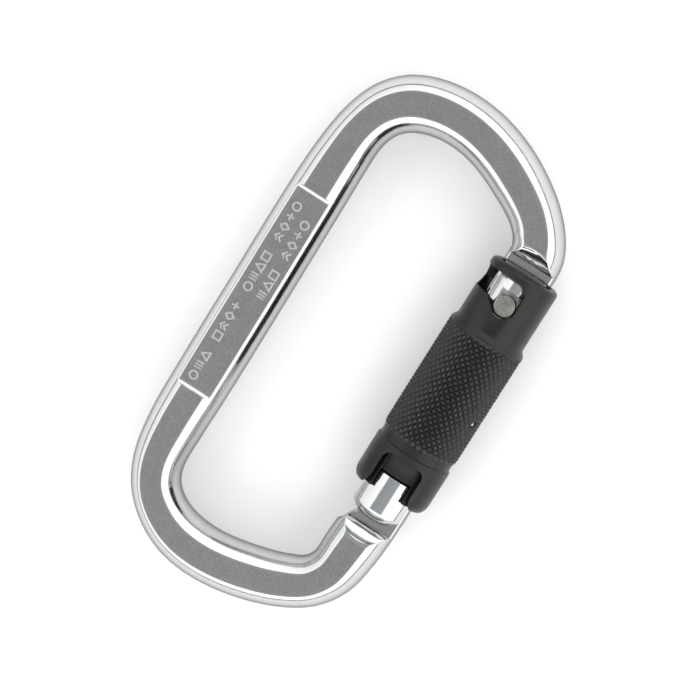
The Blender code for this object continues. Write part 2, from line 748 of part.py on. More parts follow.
def build():
    for old in list(bpy.data.objects):
        bpy.data.objects.remove(old)
    bright = material("polished_aluminium", (0.62, 0.63, 0.62), 1.0, 0.18)
    black = material("black_anodised", (0.025, 0.026, 0.026), 0.6, 0.4)
    steel = material("steel", (0.55, 0.54, 0.51), 1.0, 0.3)
    spring_steel = material("spring_steel", (0.35, 0.35, 0.35), 1.0, 0.35)
    plastic = material("black_plastic", (0.02, 0.02, 0.02), 0.0, 0.45)
    build_frame(bright)
    build_gate(bright)
    build_hinge_pin(steel)
    build_plunger(steel)
    build_guide_pin(steel)
    build_sleeve(black)
    build_bush(plastic)
    tube("thrust_washer", WASHER_RADII, WASHER_Y, steel)
    build_key_pin(steel)
    coil("sleeve_spring", spring_steel, **SLEEVE_SPRING)
    coil("gate_spring", spring_steel, **GATE_SPRING)


build()
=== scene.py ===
import math

import bmesh
import bpy
import numpy as np
from mathutils import Matrix, Vector


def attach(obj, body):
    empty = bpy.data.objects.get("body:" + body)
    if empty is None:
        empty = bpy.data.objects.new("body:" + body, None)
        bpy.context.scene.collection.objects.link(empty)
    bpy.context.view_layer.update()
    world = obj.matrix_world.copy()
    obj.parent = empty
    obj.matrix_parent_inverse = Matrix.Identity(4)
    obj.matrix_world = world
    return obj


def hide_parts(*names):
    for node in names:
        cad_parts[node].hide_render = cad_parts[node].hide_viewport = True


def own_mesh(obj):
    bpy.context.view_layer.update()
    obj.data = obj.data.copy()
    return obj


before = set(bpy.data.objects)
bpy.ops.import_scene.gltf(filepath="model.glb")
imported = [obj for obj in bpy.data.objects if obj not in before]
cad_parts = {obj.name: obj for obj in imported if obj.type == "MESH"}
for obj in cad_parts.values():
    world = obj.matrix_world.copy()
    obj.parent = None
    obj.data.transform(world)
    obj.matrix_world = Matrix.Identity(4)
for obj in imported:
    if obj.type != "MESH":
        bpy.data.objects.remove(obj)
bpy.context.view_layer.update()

# Sizes are in millimetres, in the frame of the CAD model: +X from the spine to the gate, +Y along
# the gate towards the nose, +Z up through the thickness.
MM = 0.001
UP = Vector((0, 0, 1))
ALONG = Vector((0, 1, 0))
SHARP_DEG = 32  # edges that turn by more than this look sharp
SOFT_DEG = 38  # edges that turn by more than this are rounded
CUT_REACH = 9  # cutters end this far from the axis of what they cut

# Bar of the frame
BAR_HALF_HEIGHT = 6.25
FLAT_Z = 5.6
EDGE_ROUND = 0.28  # rounding between the flats and the sides
SIDE_STEPS = 13  # faces up each side, from the widest point to the flat
ROUND_STEPS = 4
FLAT_STEPS = 4
CURVE_STEPS = 12  # rings between two stations
TONGUE_SPACING, FLAT_SPACING, PLATE_SPACING, NOSE_SPACING = 0.9, 0.5, 1.5, 0.6
HINGE_FAN, NOSE_FAN = 9, 14  # steps in which the rings turn at either end
# x, y and width of the bar along its middle line, from the hinge end round the spine to the nose
STATIONS = [
    (20.9, -12.0, 11.8), (20.9, -28.0, 11.8), (20.5, -34.5, 11.6), (19.9, -39.5, 10.9),
    (17.3, -43.9, 10.6), (12.7, -46.9, 11.0), (5.8, -49.5, 11.4), (-3.0, -51.2, 11.35),
    (-10.1, -50.8, 11.1), (-15.5, -48.7, 10.5), (-19.8, -45.0, 10.2), (-22.2, -39.9, 10.6),
    (-23.0, -32.6, 11.6), (-23.1, -24.4, 12.1), (-23.1, 0.0, 12.2), (-23.1, 24.4, 12.0),
    (-22.9, 32.8, 11.5), (-22.2, 39.5, 10.9), (-20.0, 45.0, 11.2), (-16.3, 48.6, 11.6),
    (-10.5, 50.8, 11.5), (-3.8, 51.2, 11.4), (2.8, 49.9, 11.4), (9.4, 47.1, 11.3),
    (15.6, 43.3, 10.6), (19.1, 39.7, 10.5), (20.7, 36.4, 11.0), (20.9, 33.5, 11.1),
    (20.9, 30.5, 11.1),
]
# Stations at which the bar's rings start and stop being square to its middle line
HINGE_BEND, SPINE_FOOT, SPINE_HEAD, NOSE_BEND = 3, 13, 15, 24
HINGE_LEVEL_END_Y = -33.0
PLATE_X = -23.1
PLATE_Z = 4.84
PLATE_Y = (-23.5, 23.9)
PLATE_RAMP = 1.1

# Hinge, gate and nose
AXIS_X = 20.9
PIVOT_Y = -19.9
GAP = 0.3
TONGUE_HALF = 2.5
# The tongue's neck, measured from the hinge axis: an arc (centre and radius), and what follows it
NECK_ARC = ((-6.3, -9.0), 1.2)
NECK = [(-4.5, -8.2), (-3.8, -7.0), (-3.45, -5.5), (-3.4, -3.0), (-4.2, 1.0)]
TONGUE_SIDE = (6.6, -3)
TONGUE_CUT_REACH = 14
HINGE_SHOULDER = dict(
    flat_end=-31.4, lip=(-30.5, 5.35), step=((-30.4, 5.05), (-27.65, 3.3)), foot=-27.4, tilt_deg=15
)
NOSE_HALF = 2.7
NOSE_SHOULDER = dict(
    flat_end=37.7, lip=(37.3, 5.5), step=((37.2, 5.3), (34.65, 3.4)), foot=34.4, tilt_deg=29
)
LIP_BOW = 2.4  # how far a shoulder's lip bends towards its foot at the bar's edges
LIP_STEPS = 8
STEP_STEPS = 20
ROOT_RISE = 0.12  # height of the small hollow where a step meets its tongue
TONGUE_SPAN_Y = (-27, -9)
NOSE_SPAN_Y = (30, 34)
FRAME_EDGE, GATE_EDGE, SLEEVE_EDGE = 0.12, 0.14, 0.12  # rounding of machined edges
EAR_RADIUS = 6.05
# Rounded end of the ears, as (radius, y)
EAR_END = [
    (0, -26.0), (3.3, -26.0), (3.75, -25.93), (4.2, -25.75), (4.9, -25.2),
    (5.5, -24.6), (5.85, -24.15), (6.0, -23.9), (6.05, -23.6),
]
GATE_RADIUS = 5.2
EAR_SHOULDER_Y = -15.8
GATE_TOP_Y = 31.0
SLOT_TOP_Y = -13.0
HINGE_PIN_RADIUS = 1.8
HINGE_PIN_HALF = 5.2  # half its length
HEAD_RADIUS = 5.78
OPEN_DEG = 27.0
TIP_RADIUS = 1.3
TIP_HEIGHT = 6.5
LIFT = 1.2
CAM_DEG = (-15, 45)
PLUNGER_RADIUS = 1.5
PLUNGER_TOP_Y = -7.0
BORE_RADIUS = 1.8
BORE_TOP_Y = 4.3
NOSE_ARC = 52.85
NOSE_CUT_FOOT_Y = 27
KEYWAY_ROOT_ARC = NOSE_ARC - 3
HEAD_ARC = NOSE_ARC - GAP
HEAD_HALF_WIDTH = 4.7
HEAD_ROOT_Y = 29
BLADE_ROOT_Y = 29.5
BLADE_HALF = 1.2
BLADE_X = (-1.6, 1.2)
HOOK_X = 3.0
HOOK_ARCS = (54.6, 56.0)
PIN_SEAT_Z = 4.6
PIN_SEAT_Y = (22.55, 27.9)

# Sleeve
COLLAR_RADIUS = 7.54
KNURL_RADIUS = 8.37
NECK_RADIUS = 7.97
SLEEVE_TOP_Y = 32.2
SLEEVE_FOOT_Y = -20.0
TOP_BORE = 5.75
KEYED_BORE = 6.5
FOOT_BORE = 7.2
FOOT_BORE_TOP_Y = -6.6
CHAMBER_RADIUS = 7.1
CHAMBER_Y = (-1.5, 17.0)
SLIDE = 2.9
WINDOW_Y = 27.9
GUIDE_PIN_Y = WINDOW_Y - SLIDE
GUIDE_PIN_RADIUS = 2.2
WINDOW_HALF = GUIDE_PIN_RADIUS + GAP
RELIEF_RADIUS = 7.22
GUIDE_HEAD_TOP = 7.0
GUIDE_SHANK_RADIUS = 1.1
GUIDE_SHANK_END_Z = 0.8
GUIDE_RIM = 0.25
GUIDE_DOME = 9.0  # radius of the head's dome
TURNED_RING = dict(height=0.014, pitch=0.27)
DIMPLE = dict(depth=0.05, radius=0.16)
FIT = 0.05  # clearance of a pin that is pressed in
NOTCH_TOP_Y = -11.5
NOTCH_HALF = 4.55
NOTCH_CORNER = 1.9
WINDOW_SPAN_Y = (22, 30.6)
WALL_CUT = (4.8, 9.0)  # radii that reach through the sleeve's wall
KNURLS = 35  # diamonds round the sleeve
KNURL_DEPTH = 0.36
KNURL_Y = (-8.44, 17.2)
KNURL_FOOT = dict(y=-8.5, length=1.2)  # the chamfer below the knurl
KNURL_ROWS = 33
CREST_LAND = 0.26  # worn top of a diamond, as a share of it

# Bush, washer, key pin and springs
BUSH_RADII = (5.5, 6.15)
BUSH_TOP_Y = 3.6
SKIRT_RADII = (6.35, 6.9)
SKIRT_Y = (-19.6, -10.0)
SKIRT_NOTCH_HALF = 3.55
SKIRT_NOTCH_TOP_Y = -15.5
WASHER_RADII = (5.5, 6.8)
WASHER_Y = (3.9, 4.6)
KEY_PIN_Y = 1.4
KEY_PIN_TURN = math.radians(62.6)
KEY_PIN_WAY = Vector((math.sin(KEY_PIN_TURN), 0, math.cos(KEY_PIN_TURN)))
KEY_PIN_RADIUS = 0.6
KEY_PIN_SPAN = (5.75, 8.2)
SLEEVE_SPRING = dict(radius=6.3, wire=0.45, low=4.9, high=16.7, turns=6)
GATE_SPRING = dict(radius=1.15, wire=0.25, low=-6.7, high=4.0, turns=10)

# View
VIEW_TARGET = Vector((-0.0009, 0.0001, 0))
VIEW_FROM = Vector((0.083, 0.157, 1))
VIEW_DISTANCE = 0.57
VIEW_ROLL_DEG = 32.0
VIEW_LENS = 145.9
FLOOR_Z = -0.0085


# -------- mesh tools


def finished_object(name, bm, materials, sharp_deg=SHARP_DEG):
    """An object from a closed bmesh in metres."""
    bmesh.ops.recalc_face_normals(bm, faces=bm.faces)
    mesh = bpy.data.meshes.new(name)
    bm.to_mesh(mesh)
    bm.free()
    for look in materials:
        mesh.materials.append(look)
    mesh.shade_smooth()
    mesh.set_sharp_from_angle(angle=math.radians(sharp_deg))
    made = bpy.data.objects.new(name, mesh)
    bpy.context.scene.collection.objects.link(made)
    return made


def shape_with(piece, guides, operation="DIFFERENCE"):
    """Cuts or joins shapes with a piece, and then removes them."""
    for guide in guides:
        change = piece.modifiers.new("shape", "BOOLEAN")
        change.object = guide
        change.operation = operation
        change.solver = "MANIFOLD"
    graph = bpy.context.evaluated_depsgraph_get()
    shaped = bpy.data.meshes.new_from_object(piece.evaluated_get(graph))
    piece.modifiers.clear()
    piece.data = shaped
    while shaped.materials and shaped.materials[-1] is None:
        shaped.materials.pop()
    for guide in guides:
        bpy.data.objects.remove(guide)
    return piece


def soften(piece, width, chosen, sharp_deg=SHARP_DEG):
    """Rounds the sharp edges of a piece whose middle point is chosen."""
    bm = bmesh.new()
    bm.from_mesh(piece.data)
    bmesh.ops.remove_doubles(bm, verts=bm.verts, dist=0.003 * MM)
    bmesh.ops.dissolve_degenerate(bm, dist=0.001 * MM, edges=bm.edges)
    edges = []
    for edge in bm.edges:
        middle = (edge.verts[0].co + edge.verts[1].co) / (2 * MM)
        if edge.is_manifold and edge.calc_face_angle() > math.radians(SOFT_DEG) and chosen(middle):
            edges.append(edge)
    bevel = dict(segments=2, profile=0.5, affect="EDGES", clamp_overlap=False, material=-1)
    bmesh.ops.bevel(bm, geom=edges, offset=width * MM, **bevel)
    bm.to_mesh(piece.data)
    bm.free()
    piece.data.shade_smooth()
    piece.data.set_sharp_from_angle(angle=math.radians(sharp_deg))
    return piece


def arc(centre, radius, start_deg, end_deg, steps):
    """Points on an arc, with angles counted from +X towards +Y."""
    angles = np.radians(np.linspace(start_deg, end_deg, steps + 1))
    return [(centre[0] + radius * math.cos(a), centre[1] + radius * math.sin(a)) for a in angles]


def prism(outline, low, high, materials=()):
    """A cutter, or a shape to join: an outline in x and y pushed across z."""
    bm = bmesh.new()
    face = bm.faces.new([bm.verts.new(Vector((x, y, low)) * MM) for x, y in outline])
    grown = bmesh.ops.extrude_face_region(bm, geom=[face])["geom"]
    moved = [g for g in grown if isinstance(g, bmesh.types.BMVert)]
    bmesh.ops.translate(bm, verts=moved, vec=UP * (high - low) * MM)
    return finished_object("cutter", bm, materials)


def turned(name, profile, foot, direction, materials=(), steps=96, sharp_deg=SHARP_DEG):
    """A profile of (radius, height) turned round a line from foot along direction. An open
    profile starts and ends on that line, and a closed one stays clear of it."""
    bm = bmesh.new()
    points = [bm.verts.new(Vector((r, 0, h)) * MM) for r, h in profile]
    pairs = list(zip(points, points[1:]))
    if profile[0][0] > 0:
        pairs.append((points[-1], points[0]))
    edges = [bm.edges.new(pair) for pair in pairs]
    spin = dict(axis=UP, cent=(0, 0, 0), angle=math.tau, steps=steps, use_merge=True)
    bmesh.ops.spin(bm, geom=points + edges, **spin)
    bmesh.ops.remove_doubles(bm, verts=bm.verts, dist=1e-7)
    turn = UP.rotation_difference(direction).to_matrix().to_4x4()
    bm.transform(Matrix.Translation(Vector(foot) * MM) @ turn)
    return finished_object(name, bm, materials, sharp_deg)


def rod(radius, low, high, foot, direction, steps=48):
    """A round cutter."""
    profile = [(0, low), (radius, low), (radius, high), (0, high)]
    return turned("cutter", profile, foot, direction, steps=steps)


def swept(name, points, radius, materials, sides=12):
    """A round wire along a list of points, with flat ends."""
    bm = bmesh.new()
    points = [Vector(p) for p in points]
    rings = []
    for i, here in enumerate(points):
        ahead = (points[min(i + 1, len(points) - 1)] - points[max(i - 1, 0)]).normalized()
        across = ahead.cross(ALONG).normalized()
        upwards = across.cross(ahead)
        ring = []
        for turn in (math.tau * k / sides for k in range(sides)):
            outward = across * math.cos(turn) + upwards * math.sin(turn)
            ring.append(bm.verts.new((here + outward * radius) * MM))
        rings.append(ring)
    join_rings(bm, rings)
    bm.faces.new(rings[0])
    bm.faces.new(rings[-1])
    return finished_object(name, bm, materials, sharp_deg=50)


def join_rings(bm, rings):
    """Faces between rings of the same number of corners, one list of them for each pair."""
    bands = []
    for ring, following in zip(rings, rings[1:]):
        band = []
        for j in range(len(ring)):
            k = (j + 1) % len(ring)
            band.append(bm.faces.new((ring[j], ring[k], following[k], following[j])))
        bands.append(band)
    return bands


def placed(piece, body, slot, *nodes):
    """Puts a piece on its body and hides the CAD nodes it stands for. The finish it takes, slot, is
    not used.
    """
    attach(piece, body)
    if nodes:
        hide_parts(*nodes)
    return piece


# -------- materials


class Nodes:
    """Short calls that add shader nodes to a tree."""

    def __init__(self, tree):
        self.tree = tree

    def link(self, output, socket):
        self.tree.links.new(output, socket)

    def add(self, kind, output, links, **numbers):
        """One output of a new node, with its inputs linked or set to numbers."""
        node = self.tree.nodes.new("ShaderNode" + kind)
        for name, number in numbers.items():
            node.inputs[name.replace("_", " ")].default_value = number
        for name, source in links.items():
            self.link(source, node.inputs[name])
        return node.outputs[output]

    def remap(self, value, low, high, to_low, to_high):
        """A value taken from one range to another."""
        ends = dict(From_Min=low, From_Max=high, To_Min=to_low, To_Max=to_high)
        return self.add("MapRange", "Result", {"Value": value}, **ends)

    def combine(self, operation, *values):
        node = self.tree.nodes.new("ShaderNodeMath")
        node.operation = operation
        for value, socket in zip(values, node.inputs):
            self.link(value, socket)
        return node.outputs["Value"]

    def blend(self, share, first, second):
        """A colour between two, each an (r, g, b) or a colour output."""
        node = self.tree.nodes.new("ShaderNodeMix")
        node.data_type = "RGBA"
        self.link(share, node.inputs["Factor"])
        for socket, colour in ((node.inputs[6], first), (node.inputs[7], second)):
            if isinstance(colour, tuple):
                socket.default_value = (*colour, 1)
            else:
                self.link(colour, socket)
        return node.outputs[2]


class Look(Nodes):
    """A Principled material. Coordinates are millimetres."""

    def __init__(self, name, **settings):
        self.material = bpy.data.materials.new(name)
        self.material.use_nodes = True
        super().__init__(self.material.node_tree)
        self.shader = self.tree.nodes["Principled BSDF"]
        for socket, value in settings.items():
            self.shader.inputs[socket.replace("_", " ")].default_value = value
        place = self.add("TexCoord", "Object", {})
        scale = (1000, 1000, 1000)
        self.millimetres = self.add("Mapping", "Vector", {"Vector": place}, Scale=scale)

    def noise(self, scale, detail=3.0, stretch=(1, 1, 1), roughness=0.5):
        place = self.add("Mapping", "Vector", {"Vector": self.millimetres}, Scale=stretch)
        numbers = dict(Scale=scale, Detail=detail, Roughness=roughness)
        return self.add("TexNoise", "Fac", {"Vector": place}, **numbers)

    def cells(self, scale):
        return self.add("TexVoronoi", "Distance", {"Vector": self.millimetres}, Scale=scale)

    def attribute(self, name):
        node = self.tree.nodes.new("ShaderNodeAttribute")
        node.attribute_name = name
        return node.outputs["Fac"]

    def bump(self, height, distance, below=None):
        """Bump whose height of 1 stands that many millimetres proud."""
        links = {"Height": height}
        if below is not None:
            links["Normal"] = below
        return self.add("Bump", "Normal", links, Strength=1, Distance=distance * MM)

    def finish(self, colour, roughness=None, normal=None):
        outputs = {"Base Color": colour, "Roughness": roughness, "Normal": normal}
        for socket, output in outputs.items():
            if output is not None:
                self.link(output, self.shader.inputs[socket])
        return self.material


def polished_metal():
    """Tumbled and polished aluminium: bright, with faint waves and hairline scratches."""
    look = Look("polished_aluminium", Metallic=1, Specular_Tint=(0.38, 0.39, 0.38, 1))
    waves = look.noise(0.16, detail=1.0)
    hair = look.noise(2.2, detail=2.0, stretch=(0.35, 1.6, 1.0))
    colour = look.blend(look.noise(0.5), (0.56, 0.57, 0.565), (0.62, 0.63, 0.62))
    roughness = look.remap(hair, 0.35, 0.7, 0.08, 0.15)
    normal = look.bump(hair, 0.0012, look.bump(waves, 0.05))
    return look.finish(colour, roughness, normal)


def satin_metal():
    """The pressed flats: an even satin with a fine sparkle."""
    look = Look("satin_aluminium", Metallic=1)
    grain = look.noise(2.8, detail=5.0, roughness=0.75)
    share = look.remap(grain, 0.3, 0.7, 0, 1)
    colour = look.blend(share, (0.28, 0.283, 0.283), (0.46, 0.46, 0.456))
    roughness = look.remap(look.noise(0.4), 0.3, 0.7, 0.30, 0.34)
    normal = look.bump(grain, 0.008, look.bump(look.cells(3.5), 0.003))
    return look.finish(colour, roughness, normal)


def milled_metal():
    """Faces left by a milling cutter, with fine marks across the bar."""
    look = Look("milled_aluminium", Metallic=1)
    lines = look.noise(3.0, detail=2.0, stretch=(0.12, 3.0, 0.4))
    colour = look.blend(lines, (0.33, 0.33, 0.31), (0.43, 0.43, 0.41))
    roughness = look.remap(lines, 0.3, 0.7, 0.26, 0.36)
    return look.finish(colour, roughness, look.bump(lines, 0.004))


def turned_metal(name, dark, light, rough):
    """Steel off a lathe."""
    look = Look(name, Metallic=1)
    grain = look.noise(5.0, detail=3.0)
    colour = look.blend(look.remap(look.noise(1.3), 0.35, 0.65, 0, 1), dark, light)
    roughness = look.remap(grain, 0.3, 0.7, rough - 0.06, rough + 0.08)
    return look.finish(colour, roughness, look.bump(grain, 0.003))


def black_anodised():
    """Bead-blasted, black anodised aluminium with a broad soft sheen."""
    look = Look("black_anodised", Specular_IOR_Level=0.28)
    grain = look.noise(9.0, detail=3.0, roughness=0.6)
    patches = look.remap(look.noise(0.35, detail=3.0), 0.35, 0.65, 0, 1)
    colour = look.blend(patches, (0.0100, 0.0098, 0.0082), (0.0150, 0.0147, 0.0128))
    roughness = look.remap(patches, 0, 1, 0.32, 0.40)
    return look.finish(colour, roughness, look.bump(grain, 0.006))


def knurled_black():
    """The same black, rubbed smoother on the crests of the knurl, with painted light in its colour:
    paler crests as a painted highlight and wear, and slopes and valleys darker than the collars as
    painted shade.
    """
    look = Look("knurled_black", Specular_IOR_Level=0.34)
    grain = look.noise(8.0, detail=3.0)
    patches = look.remap(look.noise(0.9), 0.35, 0.65, 0.2, 1.0)
    # Painted highlight and wear: the crest mask makes the crests paler and smoother. Away from the
    # crests the black is darker than the collars' as painted shade.
    wear_and_highlight = look.combine("MULTIPLY", look.attribute("crest"), patches)
    colour = look.blend(wear_and_highlight, (0.006, 0.006, 0.0054), (0.030, 0.030, 0.027))
    roughness = look.remap(look.combine("ADD", wear_and_highlight, grain), 0.3, 1.6, 0.38, 0.20)
    return look.finish(colour, roughness, look.bump(grain, 0.004))


def moulded_plastic():
    look = Look("black_plastic", Specular_IOR_Level=0.3)
    grain = look.noise(6.0, detail=4.0)
    colour = look.blend(look.noise(0.6), (0.006, 0.006, 0.006), (0.011, 0.011, 0.0105))
    roughness = look.remap(grain, 0.3, 0.7, 0.42, 0.55)
    return look.finish(colour, roughness, look.bump(grain, 0.006))


def plain_floor():
    look = Look("floor", Specular_IOR_Level=0, Roughness=0.9)
    return look.finish(look.blend(look.noise(0.01), (0.93, 0.93, 0.93), (0.95, 0.95, 0.95)))


# -------- frame bar


def catmull_rom(points, knots, t):
    level = list(points)
    for reach in (1, 2, 3):
        level = [
            p.lerp(q, (t - knots[i]) / (knots[i + reach] - knots[i]))
            for i, (p, q) in enumerate(zip(level, level[1:]))
        ]
    return level[0]


def smooth_stations():
    """The stations with the points of a Catmull-Rom curve between them."""
    known = [Vector(s) for s in STATIONS]
    known = [2 * known[0] - known[1], *known, 2 * known[-1] - known[-2]]
    points = []
    for a, b, c, d in zip(known, known[1:], known[2:], known[3:]):
        knots = [0.0]
        for p, q in ((a, b), (b, c), (c, d)):
            knots.append(knots[-1] + (q.xy - p.xy).length ** 0.5)
        for i in range(CURVE_STEPS):
            t = knots[1] + (knots[2] - knots[1]) * i / CURVE_STEPS
            points.append(catmull_rom((a, b, c, d), knots, t))
    return np.array(points + [known[-2]])


class Side:
    """The bar's inner or outer side seen from the front, measured along its length."""

    def __init__(self, points):
        self.points = points
        steps = np.hypot(*np.diff(points, axis=0).T)
        self.lengths = np.concatenate(([0.0], np.cumsum(steps)))

    def at(self, length):
        return np.array([np.interp(length, self.lengths, self.points[:, k]) for k in (0, 1)])

    def reach(self, y, first, last):
        """The length at which the side, between two stations, is at a height y."""
        part = slice(first * CURVE_STEPS, last * CURVE_STEPS + 1)
        heights, lengths = self.points[part, 1], self.lengths[part]
        order = np.argsort(heights)
        return np.interp(y, heights[order], lengths[order])


def bar_sides():
    path = smooth_stations()
    ahead = np.gradient(path[:, :2], axis=0)
    sideways = np.column_stack((ahead[:, 1], -ahead[:, 0]))
    sideways /= np.hypot(*sideways.T)[:, None]
    half = path[:, 2:] / 2
    return Side(path[:, :2] + sideways * half), Side(path[:, :2] - sideways * half)


def bulge(start, end, steps, first_deg=0):
    """Points of a bulging arc that leaves start at a slope and falls to end."""
    run, drop = end[0] - start[0], start[1] - end[1]
    first = math.radians(first_deg)
    last = 2 * math.atan(drop / abs(run)) - first
    radius = run / (math.sin(last) - math.sin(first))
    points = []
    for i in range(steps + 1):
        slope = first + (last - first) * i / steps
        y = start[0] + radius * (math.sin(slope) - math.sin(first))
        points.append((y, start[1] - abs(radius) * (math.cos(first) - math.cos(slope))))
    return points


def shoulder_heights(flat_end, lip, step, foot, tilt_deg, half):
    """(y, height, bow) points from the flat over a lip and a bulging step to a tongue. Bow is how
    far a ring bends along y at the bar's edges, and tilt_deg the step's first slope."""
    full = math.copysign(LIP_BOW, foot - flat_end)
    (step_start, _), (step_end, _) = step
    points = []
    for y, z in bulge((flat_end, FLAT_Z), lip, LIP_STEPS):
        points.append((y, z, full * (y - flat_end) / (lip[0] - flat_end)))
    for y, z in bulge(*step, STEP_STEPS, tilt_deg):
        points.append((y, z, full * (step_end - y) / (step_end - step_start)))
    root = foot - (foot - step_end) * 0.3
    return points + [(root, half + ROOT_RISE, 0), (foot, half, 0)]


def plate_heights():
    """(y, height, bow) points at both ends of the plate, where the flat is scooped out."""
    low, high = PLATE_Y
    arch = bulge((0, FLAT_Z), (PLATE_RAMP, PLATE_Z), 12)
    scoop = [(PLATE_RAMP - y, FLAT_Z + PLATE_Z - z) for y, z in reversed(arch)]
    return [(low + y, z, 0) for y, z in scoop] + [(high - y, z, 0) for y, z in reversed(scoop)]


def even_steps(start, end, step):
    count = max(round(abs(end - start) / step), 1)
    return [start + (end - start) * i / count for i in range(count)]


def bar_rings():
    """Rings round the bar as (length along the inner side, along the outer side, height of the
    flat, bow). They stand square to the bar in the bows, and across Y on the spine and the ends."""
    inner, outer = bar_sides()
    rings = []

    def across_y(heights, first, last):
        for y, height, bow in heights:
            rings.append((inner.reach(y, first, last), outer.reach(y, first, last), height, bow))

    def level(ys, height, first, last):
        across_y([(y, height, 0) for y in ys], first, last)

    def square(first, last):
        for i in range(first * CURVE_STEPS, last * CURVE_STEPS + 1):
            rings.append((inner.lengths[i], outer.lengths[i], FLAT_Z, 0))

    def fanned(start, end, steps):
        """Rings that turn from one into another."""
        for i in range(1, steps):
            share = i / steps
            rings.append(tuple(a + (b - a) * share for a, b in zip(start, end)))

    hinge = shoulder_heights(half=TONGUE_HALF, **HINGE_SHOULDER)
    tongue_start = hinge[-1][0]
    level(even_steps(STATIONS[0][1], tongue_start, TONGUE_SPACING), TONGUE_HALF, 0, HINGE_BEND)
    across_y(hinge[::-1], 0, HINGE_BEND)
    flat_start = hinge[0][0] - 0.4
    level(even_steps(flat_start, HINGE_LEVEL_END_Y, FLAT_SPACING), FLAT_Z, 0, HINGE_BEND)
    bend = HINGE_BEND * CURVE_STEPS
    fanned(rings[-1], (inner.lengths[bend], outer.lengths[bend], FLAT_Z, 0), HINGE_FAN)
    square(HINGE_BEND, SPINE_FOOT)
    plate = plate_heights()
    lower = [p for p in plate if p[0] < 0]
    upper = [p for p in plate if p[0] > 0]
    foot_y, head_y = STATIONS[SPINE_FOOT][1], STATIONS[SPINE_HEAD][1]
    level([foot_y + 0.3, foot_y + 0.6], FLAT_Z, SPINE_FOOT, SPINE_HEAD)
    across_y(lower, SPINE_FOOT, SPINE_HEAD)
    middle = even_steps(lower[-1][0], upper[0][0], PLATE_SPACING)[1:]
    level(middle, PLATE_Z, SPINE_FOOT, SPINE_HEAD)
    across_y(upper, SPINE_FOOT, SPINE_HEAD)
    level([head_y - 0.25], FLAT_Z, SPINE_FOOT, SPINE_HEAD)
    square(SPINE_HEAD, NOSE_BEND)
    last = len(STATIONS) - 1
    nose = shoulder_heights(half=NOSE_HALF, **NOSE_SHOULDER)
    start_y = nose[0][0] + 0.6
    first = NOSE_BEND - 1
    start = (inner.reach(start_y, first, last), outer.reach(start_y, first, last), FLAT_Z, 0)
    fanned(rings[-1], start, NOSE_FAN)
    level([start_y, start_y - 0.3], FLAT_Z, first, last)
    across_y(nose, first, last)
    level(even_steps(nose[-1][0], STATIONS[-1][1], NOSE_SPACING)[1:], NOSE_HALF, first, last)
    return inner, outer, rings


def bar_section(half_width, height):
    """One ring of the bar as (share of the half width towards the inner side, z): an oval with
    a flat in front and at the back, and rounded edges between them."""
    lift = math.asin(height / BAR_HALF_HEIGHT)
    speed = math.hypot(half_width * math.sin(lift), BAR_HALF_HEIGHT * math.cos(lift))
    side_end = lift - EDGE_ROUND / speed
    side = []
    for i in range(SIDE_STEPS + 1):
        angle = side_end * i / SIDE_STEPS
        side.append(Vector((math.cos(angle), BAR_HALF_HEIGHT * math.sin(angle))))
    corner = Vector((math.cos(lift), height))
    flat_end = Vector((corner.x - EDGE_ROUND / half_width, height))
    rounding = []
    for i in range(1, ROUND_STEPS):
        t = i / ROUND_STEPS
        rounding.append(side[-1].lerp(corner, t).lerp(corner.lerp(flat_end, t), t))
    flat = [Vector((flat_end.x * (1 - 2 * i / FLAT_STEPS), height)) for i in range(FLAT_STEPS + 1)]
    quarter = side + rounding
    top = quarter + flat + [Vector((-p.x, p.y)) for p in reversed(quarter)]
    bottom = [Vector((p.x, -p.y)) for p in reversed(top[1:-1])]
    return top + bottom


def is_flat_face(j):
    """Whether face j of a ring's band lies on the front or back flat."""
    start = SIDE_STEPS + ROUND_STEPS
    half_count = 2 * start + FLAT_STEPS
    return start <= j % half_count < start + FLAT_STEPS


def frame_loft(materials):
    inner, outer, stations = bar_rings()
    bm = bmesh.new()
    rings = []
    for along_inner, along_outer, height, bow in stations:
        half_width = math.dist(inner.at(along_inner), outer.at(along_outer)) / 2
        ring = []
        for share, z in bar_section(half_width, height):
            back = bow * share**2
            near, far = Vector(inner.at(along_inner - back)), Vector(outer.at(along_outer - back))
            spot = (near + far) / 2 + (near - far) / 2 * share
            ring.append(bm.verts.new(Vector((spot.x, spot.y, z)) * MM))
        rings.append(ring)
    bands = join_rings(bm, rings)
    for band, one, two in zip(bands, stations, stations[1:]):
        if one[2] != two[2]:
            continue
        finish = 1 if one[2] in (FLAT_Z, PLATE_Z) else 2
        for j, face in enumerate(band):
            if is_flat_face(j):
                face.material_index = finish
    bm.faces.new(rings[0])
    bm.faces.new(rings[-1])
    return finished_object("frame", bm, materials)


def cam_outline(steps=20):
    """The tongue's top, which keeps a round plunger tip one gap away while it is lifted."""
    swing = math.radians(OPEN_DEG)
    points = []
    for i in range(steps + 1):
        angle = math.radians(CAM_DEG[0] + (CAM_DEG[1] - CAM_DEG[0]) * i / steps)
        climb = LIFT / swing if 0 < angle < swing else 0
        height = TIP_HEIGHT + LIFT * min(max(angle / swing, 0), 1)
        outward = Vector((-math.sin(angle), math.cos(angle)))
        onward = Vector((-math.cos(angle), -math.sin(angle)))
        normal = (outward * height - onward * climb).normalized()
        points.append(outward * height - normal * (TIP_RADIUS + GAP))
    return points


def tongue_cutter():
    """Leaves the hinge tongue: a cam on top, a straight outer side and a curved neck."""
    far = TONGUE_CUT_REACH
    neck_arc = arc(*NECK_ARC, -90, -20, 5)
    cam = [tuple(p) for p in reversed(cam_outline())]
    outer_side = arc((0, 0), HEAD_RADIUS, 50, 0, 12)
    outline = [(-far, neck_arc[0][1]), *neck_arc, *NECK, *cam, *outer_side]
    outline += [TONGUE_SIDE, (far, TONGUE_SIDE[1]), (far, far), (-far, far)]
    outline = [(AXIS_X + x, PIVOT_Y + y) for x, y in outline]
    return prism(outline, -CUT_REACH, CUT_REACH)


